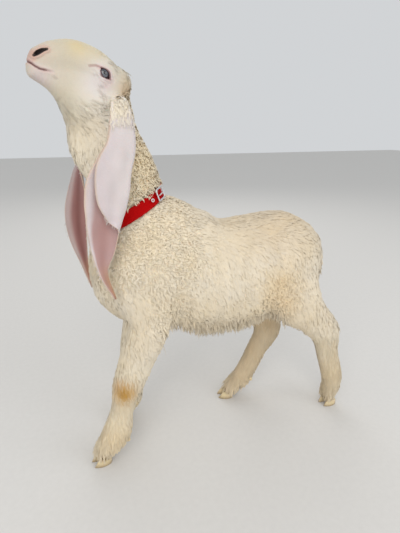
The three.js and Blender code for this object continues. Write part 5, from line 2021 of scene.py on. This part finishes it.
class Outline:
    """Closed lines in a plane, from the half side or radius."""

    @staticmethod
    def circle(radius: float, count: int = 32) -> Array:
        """A circle."""
        turn = ring_angles(count)
        return radius * np.column_stack([np.cos(turn), np.sin(turn)])

    @staticmethod
    def rounded(half: float, corner: float, steps: int = 7) -> Array:
        """A square with round corners."""
        rows = []
        for quarter, signs in enumerate(((1, 1), (-1, 1), (-1, -1), (1, -1))):
            turn = (quarter + np.linspace(0, 1, steps)) * math.pi / 2
            centre = (half - corner) * np.array(signs)
            rows.append(centre + corner * np.column_stack([np.cos(turn), np.sin(turn)]))
        return np.vstack(rows)


@dataclass
class Collar:
    """A red webbing collar with a plated buckle, pin and eyelets."""

    body: Body
    width: float = 22.0
    thickness: float = 2.4
    off: float = 1.0
    around: int = 240
    edge: float = 0.8
    inner_rows: tuple[float, int] = (2.2, 7)
    levels: int = 9
    reach: float = 160.0
    threads: tuple[float, float] = (5.2, 3.0)
    stitches: float = 8.4
    buckle: float = 12.0
    buckle_corner: float = 2.4
    wire: tuple[float, float] = (1.75, 1.3)
    pin: tuple[float, float] = (17.0, 1.15)
    eyelet: float = 2.55
    eyelet_wire: tuple[float, float] = (0.95, 0.75)

    def build(self) -> list[Object]:
        """Makes the strap and dresses the metal."""
        return [self._strap(), *self._metal()]

    def _strap(self) -> Object:
        """The strap as a ring with rounded edges."""
        angles = ring_angles(self.around)
        half, thick = self.width / 2, self.thickness
        inset = -half + self.edge
        profile = [(inset, 0.0), (-half, thick * 0.3), (-half, thick * 0.7), (inset, thick)]
        margin, rows = self.inner_rows
        profile += [(h, thick * 1.05) for h in np.linspace(-half + margin, half - margin, rows)]
        profile += [(-h, t) for h, t in reversed(profile[:4])] + [(0.0, 0.0)]
        way = np.cos(angles)[:, None] * self.body.collar_back + np.sin(angles)[:, None] * [0, 1, 0]
        levels = np.linspace(-half, half, self.levels)
        middles = [self.body.collar_centre + h * self.body.collar_up for h in levels]
        surface = np.stack([self.body.cast(middle, way, self.reach) for middle in middles])
        ring = np.empty((self.around, len(profile), 3))
        for column, (height, out) in enumerate(profile):
            at = (height + half) / self.width * (len(levels) - 1)
            low = min(int(at), len(levels) - 2)
            base = surface[low] * (1 - (at - low)) + surface[low + 1] * (at - low)
            ring[:, column] = base + way * (self.off + out)
        gap = np.linalg.norm(np.roll(ring[:, 8], -1, axis=0) - ring[:, 8], axis=1)
        run = np.concatenate([[0.0], np.cumsum(gap)[:-1]])
        quads = loft_faces(self.around, len(profile), joined=True)
        mesh = make_mesh("collar_strap", to_row(ring.reshape(-1, 3)), quads)
        heights = np.array([h for h, _ in profile])
        set_values(mesh, "strap_along", np.repeat(run, len(profile)))
        set_values(mesh, "strap_across", np.tile(heights, self.around))
        mesh.materials.append(self._webbing())
        made = new_object("collar_strap", mesh)
        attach(made, "root")
        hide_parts("collar_band")
        return made

    def _webbing(self) -> Material:
        """Red woven webbing with two rows of stitches."""
        g = Graph("webbing")
        along, across = g.attribute("strap_along"), g.attribute("strap_across")
        warp, weft = along * self.threads[0], across * self.threads[1]
        weave = (warp + weft).sine() * (warp - weft).sine() * 0.5 + 0.5
        middle = across.most(across * -1.0)
        row = 1.0 - (middle - self.stitches).most(self.stitches - middle).step(0.25, 0.6)
        stitch = row * ((along * 2.1).sine()).step(-0.2, 0.2)
        edge = middle.step(9.6, 10.6)
        fade = g.noise(34, 3.0)
        colour = g.mix(fade, (0.42, 0.001, 0.002), (0.54, 0.002, 0.002))
        colour = g.mix(weave * 0.35, colour, (0.26, 0.001, 0.002))
        colour = g.mix(edge * 0.5, colour, (0.24, 0.001, 0.002))
        colour = g.mix(stitch * 0.6, colour, (0.62, 0.02, 0.02))
        normal = g.bump(weave, 0.5, 0.0004, g.bump(stitch, 0.8, 0.0006))
        return g.finish(
            Base_Color=colour, Roughness=0.62 + weave * 0.2, Normal=normal, Specular_IOR_Level=0.06,
        )

    def _metal(self) -> list[Object]:
        """Buckle, pin and eyelets in plated steel, each where its solid is."""
        g = Graph("plating")
        wear = g.noise(160, 4.0)
        scratch = g.noise(1.0, 2.0, g.stretched((1500, 260, 260)))
        colour = g.mix(wear.step(0.45, 0.75) * 0.5, (0.72, 0.72, 0.73), (0.45, 0.43, 0.41))
        finish = g.finish(
            Base_Color=colour, Metallic=1.0, Roughness=0.16 + wear * 0.16 + scratch * 0.08,
            Normal=g.bump(scratch, 0.08, 0.0002),
        )
        along = Place.of("collar_pin").axes[0]
        square = Outline.rounded(self.buckle - self.wire[0], self.buckle_corner)
        parts = [("collar_buckle", self._ring(Place.of("collar_buckle", along), square, self.wire))]
        parts.append(("collar_pin", self._rod(Place.of("collar_pin"))))
        for number in (1, 2, 3):
            node = f"collar_eyelet_{number}"
            parts.append((node, self._ring(Place.of(node), Outline.circle(self.eyelet), self.eyelet_wire)))
        made = []
        for node, (points, faces) in parts:
            mesh = make_mesh(f"plated_{node}", to_row(points), faces)
            mesh.materials.append(finish)
            piece = new_object(mesh.name, mesh)
            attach(piece, "root")
            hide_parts(node)
            made.append(piece)
        return made

    def _ring(
        self, place: Place, path: Array, wire: tuple[float, float], around: int = 18
    ) -> Arrays:
        """A closed ring of flattened wire.

        Args:
            place: its centre and axes.
            path: the middle of the wire, in the plane of the place's first two axes.
            wire: half width and half height of the wire's section.
            around: points around the section.

        Returns:
            Drawn points and quads.
        """
        run = unit(np.roll(path, -1, axis=0) - np.roll(path, 1, axis=0))
        outward = np.column_stack([run[:, 1], -run[:, 0]])
        turn = ring_angles(around)
        flat = path[:, None] + outward[:, None] * (wire[0] * np.cos(turn))[None, :, None]
        high = np.broadcast_to(wire[1] * np.sin(turn), flat.shape[:2])[..., None]
        first, second, third = place.axes
        points = place.centre + flat[..., :1] * first + flat[..., 1:] * second + high * third
        return points.reshape(-1, 3), loft_faces(len(path), around, joined=True)

    def _rod(self, place: Place, rings: int = 24, around: int = 16) -> Arrays:
        """A pin with rounded ends, as `_ring`."""
        turn = ring_angles(around)
        lean = np.linspace(-math.pi / 2, math.pi / 2, rings)
        straight = self.pin[0] / 2 - self.pin[1]
        run = straight * np.clip(lean * 1.2, -1, 1) + self.pin[1] * np.sin(lean)
        girth = np.maximum(self.pin[1] * np.cos(lean) ** 0.4, 0.02)
        across = np.cos(turn)[None, :, None] * place.axes[1] + np.sin(turn)[None, :, None] * place.axes[2]
        points = place.centre + run[:, None, None] * place.axes[0] + girth[:, None, None] * across
        return points.reshape(-1, 3), capped(loft_faces(rings, around), rings, around)


# ---- studio ----


@dataclass
class Studio:
    """Pale floor, soft light and the camera."""

    eye: Triple = (0.0, -735.0, 650.0)
    heading: float = 19.0
    pitch: float = 19.3
    lens: float = 27.017
    floor: float = 9.0
    middle: float = 0.4

    def build(self) -> None:
        """Sets up camera, floor and lights."""
        self._camera()
        self._floor()
        self._light("key", (-1.3, -2.6, 2.1), 2.6, 52.0, (1.0, 0.97, 0.93))
        self._light("fill", (1.9, -2.0, 1.3), 2.2, 20.0, (0.96, 0.97, 1.0))
        self._light("back", (0.6, 2.2, 2.2), 2.0, 16.0, (1.0, 0.98, 0.95))
        world = bpy.data.worlds.new("studio")
        world.use_nodes = True
        background = world.node_tree.nodes["Background"]
        background.inputs["Color"].default_value = (0.80, 0.82, 0.84, 1.0)
        background.inputs["Strength"].default_value = 0.80
        bpy.context.scene.world = world
        bpy.context.scene.view_settings.view_transform = "Standard"

    def _camera(self) -> None:
        """Places the camera a little above the animal's left side."""
        data = bpy.data.cameras.new("camera")
        data.lens, data.sensor_width = self.lens, 36.0
        data.clip_start, data.clip_end = 0.02, 60.0
        camera = bpy.data.objects.new("camera", data)
        bpy.context.scene.collection.objects.link(camera)
        heading, pitch = math.radians(self.heading), math.radians(self.pitch)
        level = math.cos(pitch)
        ahead = Vector((math.sin(heading) * level, math.cos(heading) * level, -math.sin(pitch)))
        camera.location = to_row(np.array(self.eye))
        camera.rotation_mode = "QUATERNION"
        camera.rotation_quaternion = ahead.to_track_quat("-Z", "Y")
        bpy.context.scene.camera = camera

    def _floor(self) -> None:
        """A plain pale floor."""
        corners = np.array([[-1, -1, 0], [1, -1, 0], [1, 1, 0], [-1, 1, 0]]) * self.floor
        mesh = make_mesh("floor", corners, np.array([[0, 1, 2, 3]]))
        g = Graph("floor")
        speckle = g.noise(90, 3.0)
        colour = g.mix(speckle, (0.66, 0.645, 0.62), (0.71, 0.695, 0.67))
        mesh.materials.append(g.finish(Base_Color=colour, Roughness=0.9))
        new_object("floor", mesh)

    def _light(self, name: str, at: Triple, size: float, power: float, colour: Triple) -> None:
        """Adds a soft square light that faces the animal."""
        data = bpy.data.lights.new(name, "AREA")
        data.size, data.energy, data.color = size, power, colour
        light = bpy.data.objects.new(name, data)
        light.location = at
        light.rotation_mode = "QUATERNION"
        light.rotation_quaternion = (Vector((0, 0, self.middle)) - Vector(at)).to_track_quat("-Z", "Y")
        bpy.context.scene.collection.objects.link(light)


def main() -> None:
    """Builds the lamb around its frame."""
    logging.basicConfig(level=logging.INFO, format="%(message)s")
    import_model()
    body, markings = Body(), Markings()
    Studio().build()
    skin = Skin(body, markings)
    shown = skin.build()
    LOG.info("%s: %d faces", shown.name, len(shown.data.polygons))
    for piece in Coat(body, markings, shown, skin.body_points).build():
        LOG.info("coat piece %s", piece.name)
    for side in (-1, 1):
        LOG.info("eye piece %s", Eye(body, side).build().name)
    for piece in Horn().build() + Collar(body).build():
        LOG.info("piece %s", piece.name)


if __name__ == "__main__":
    main()
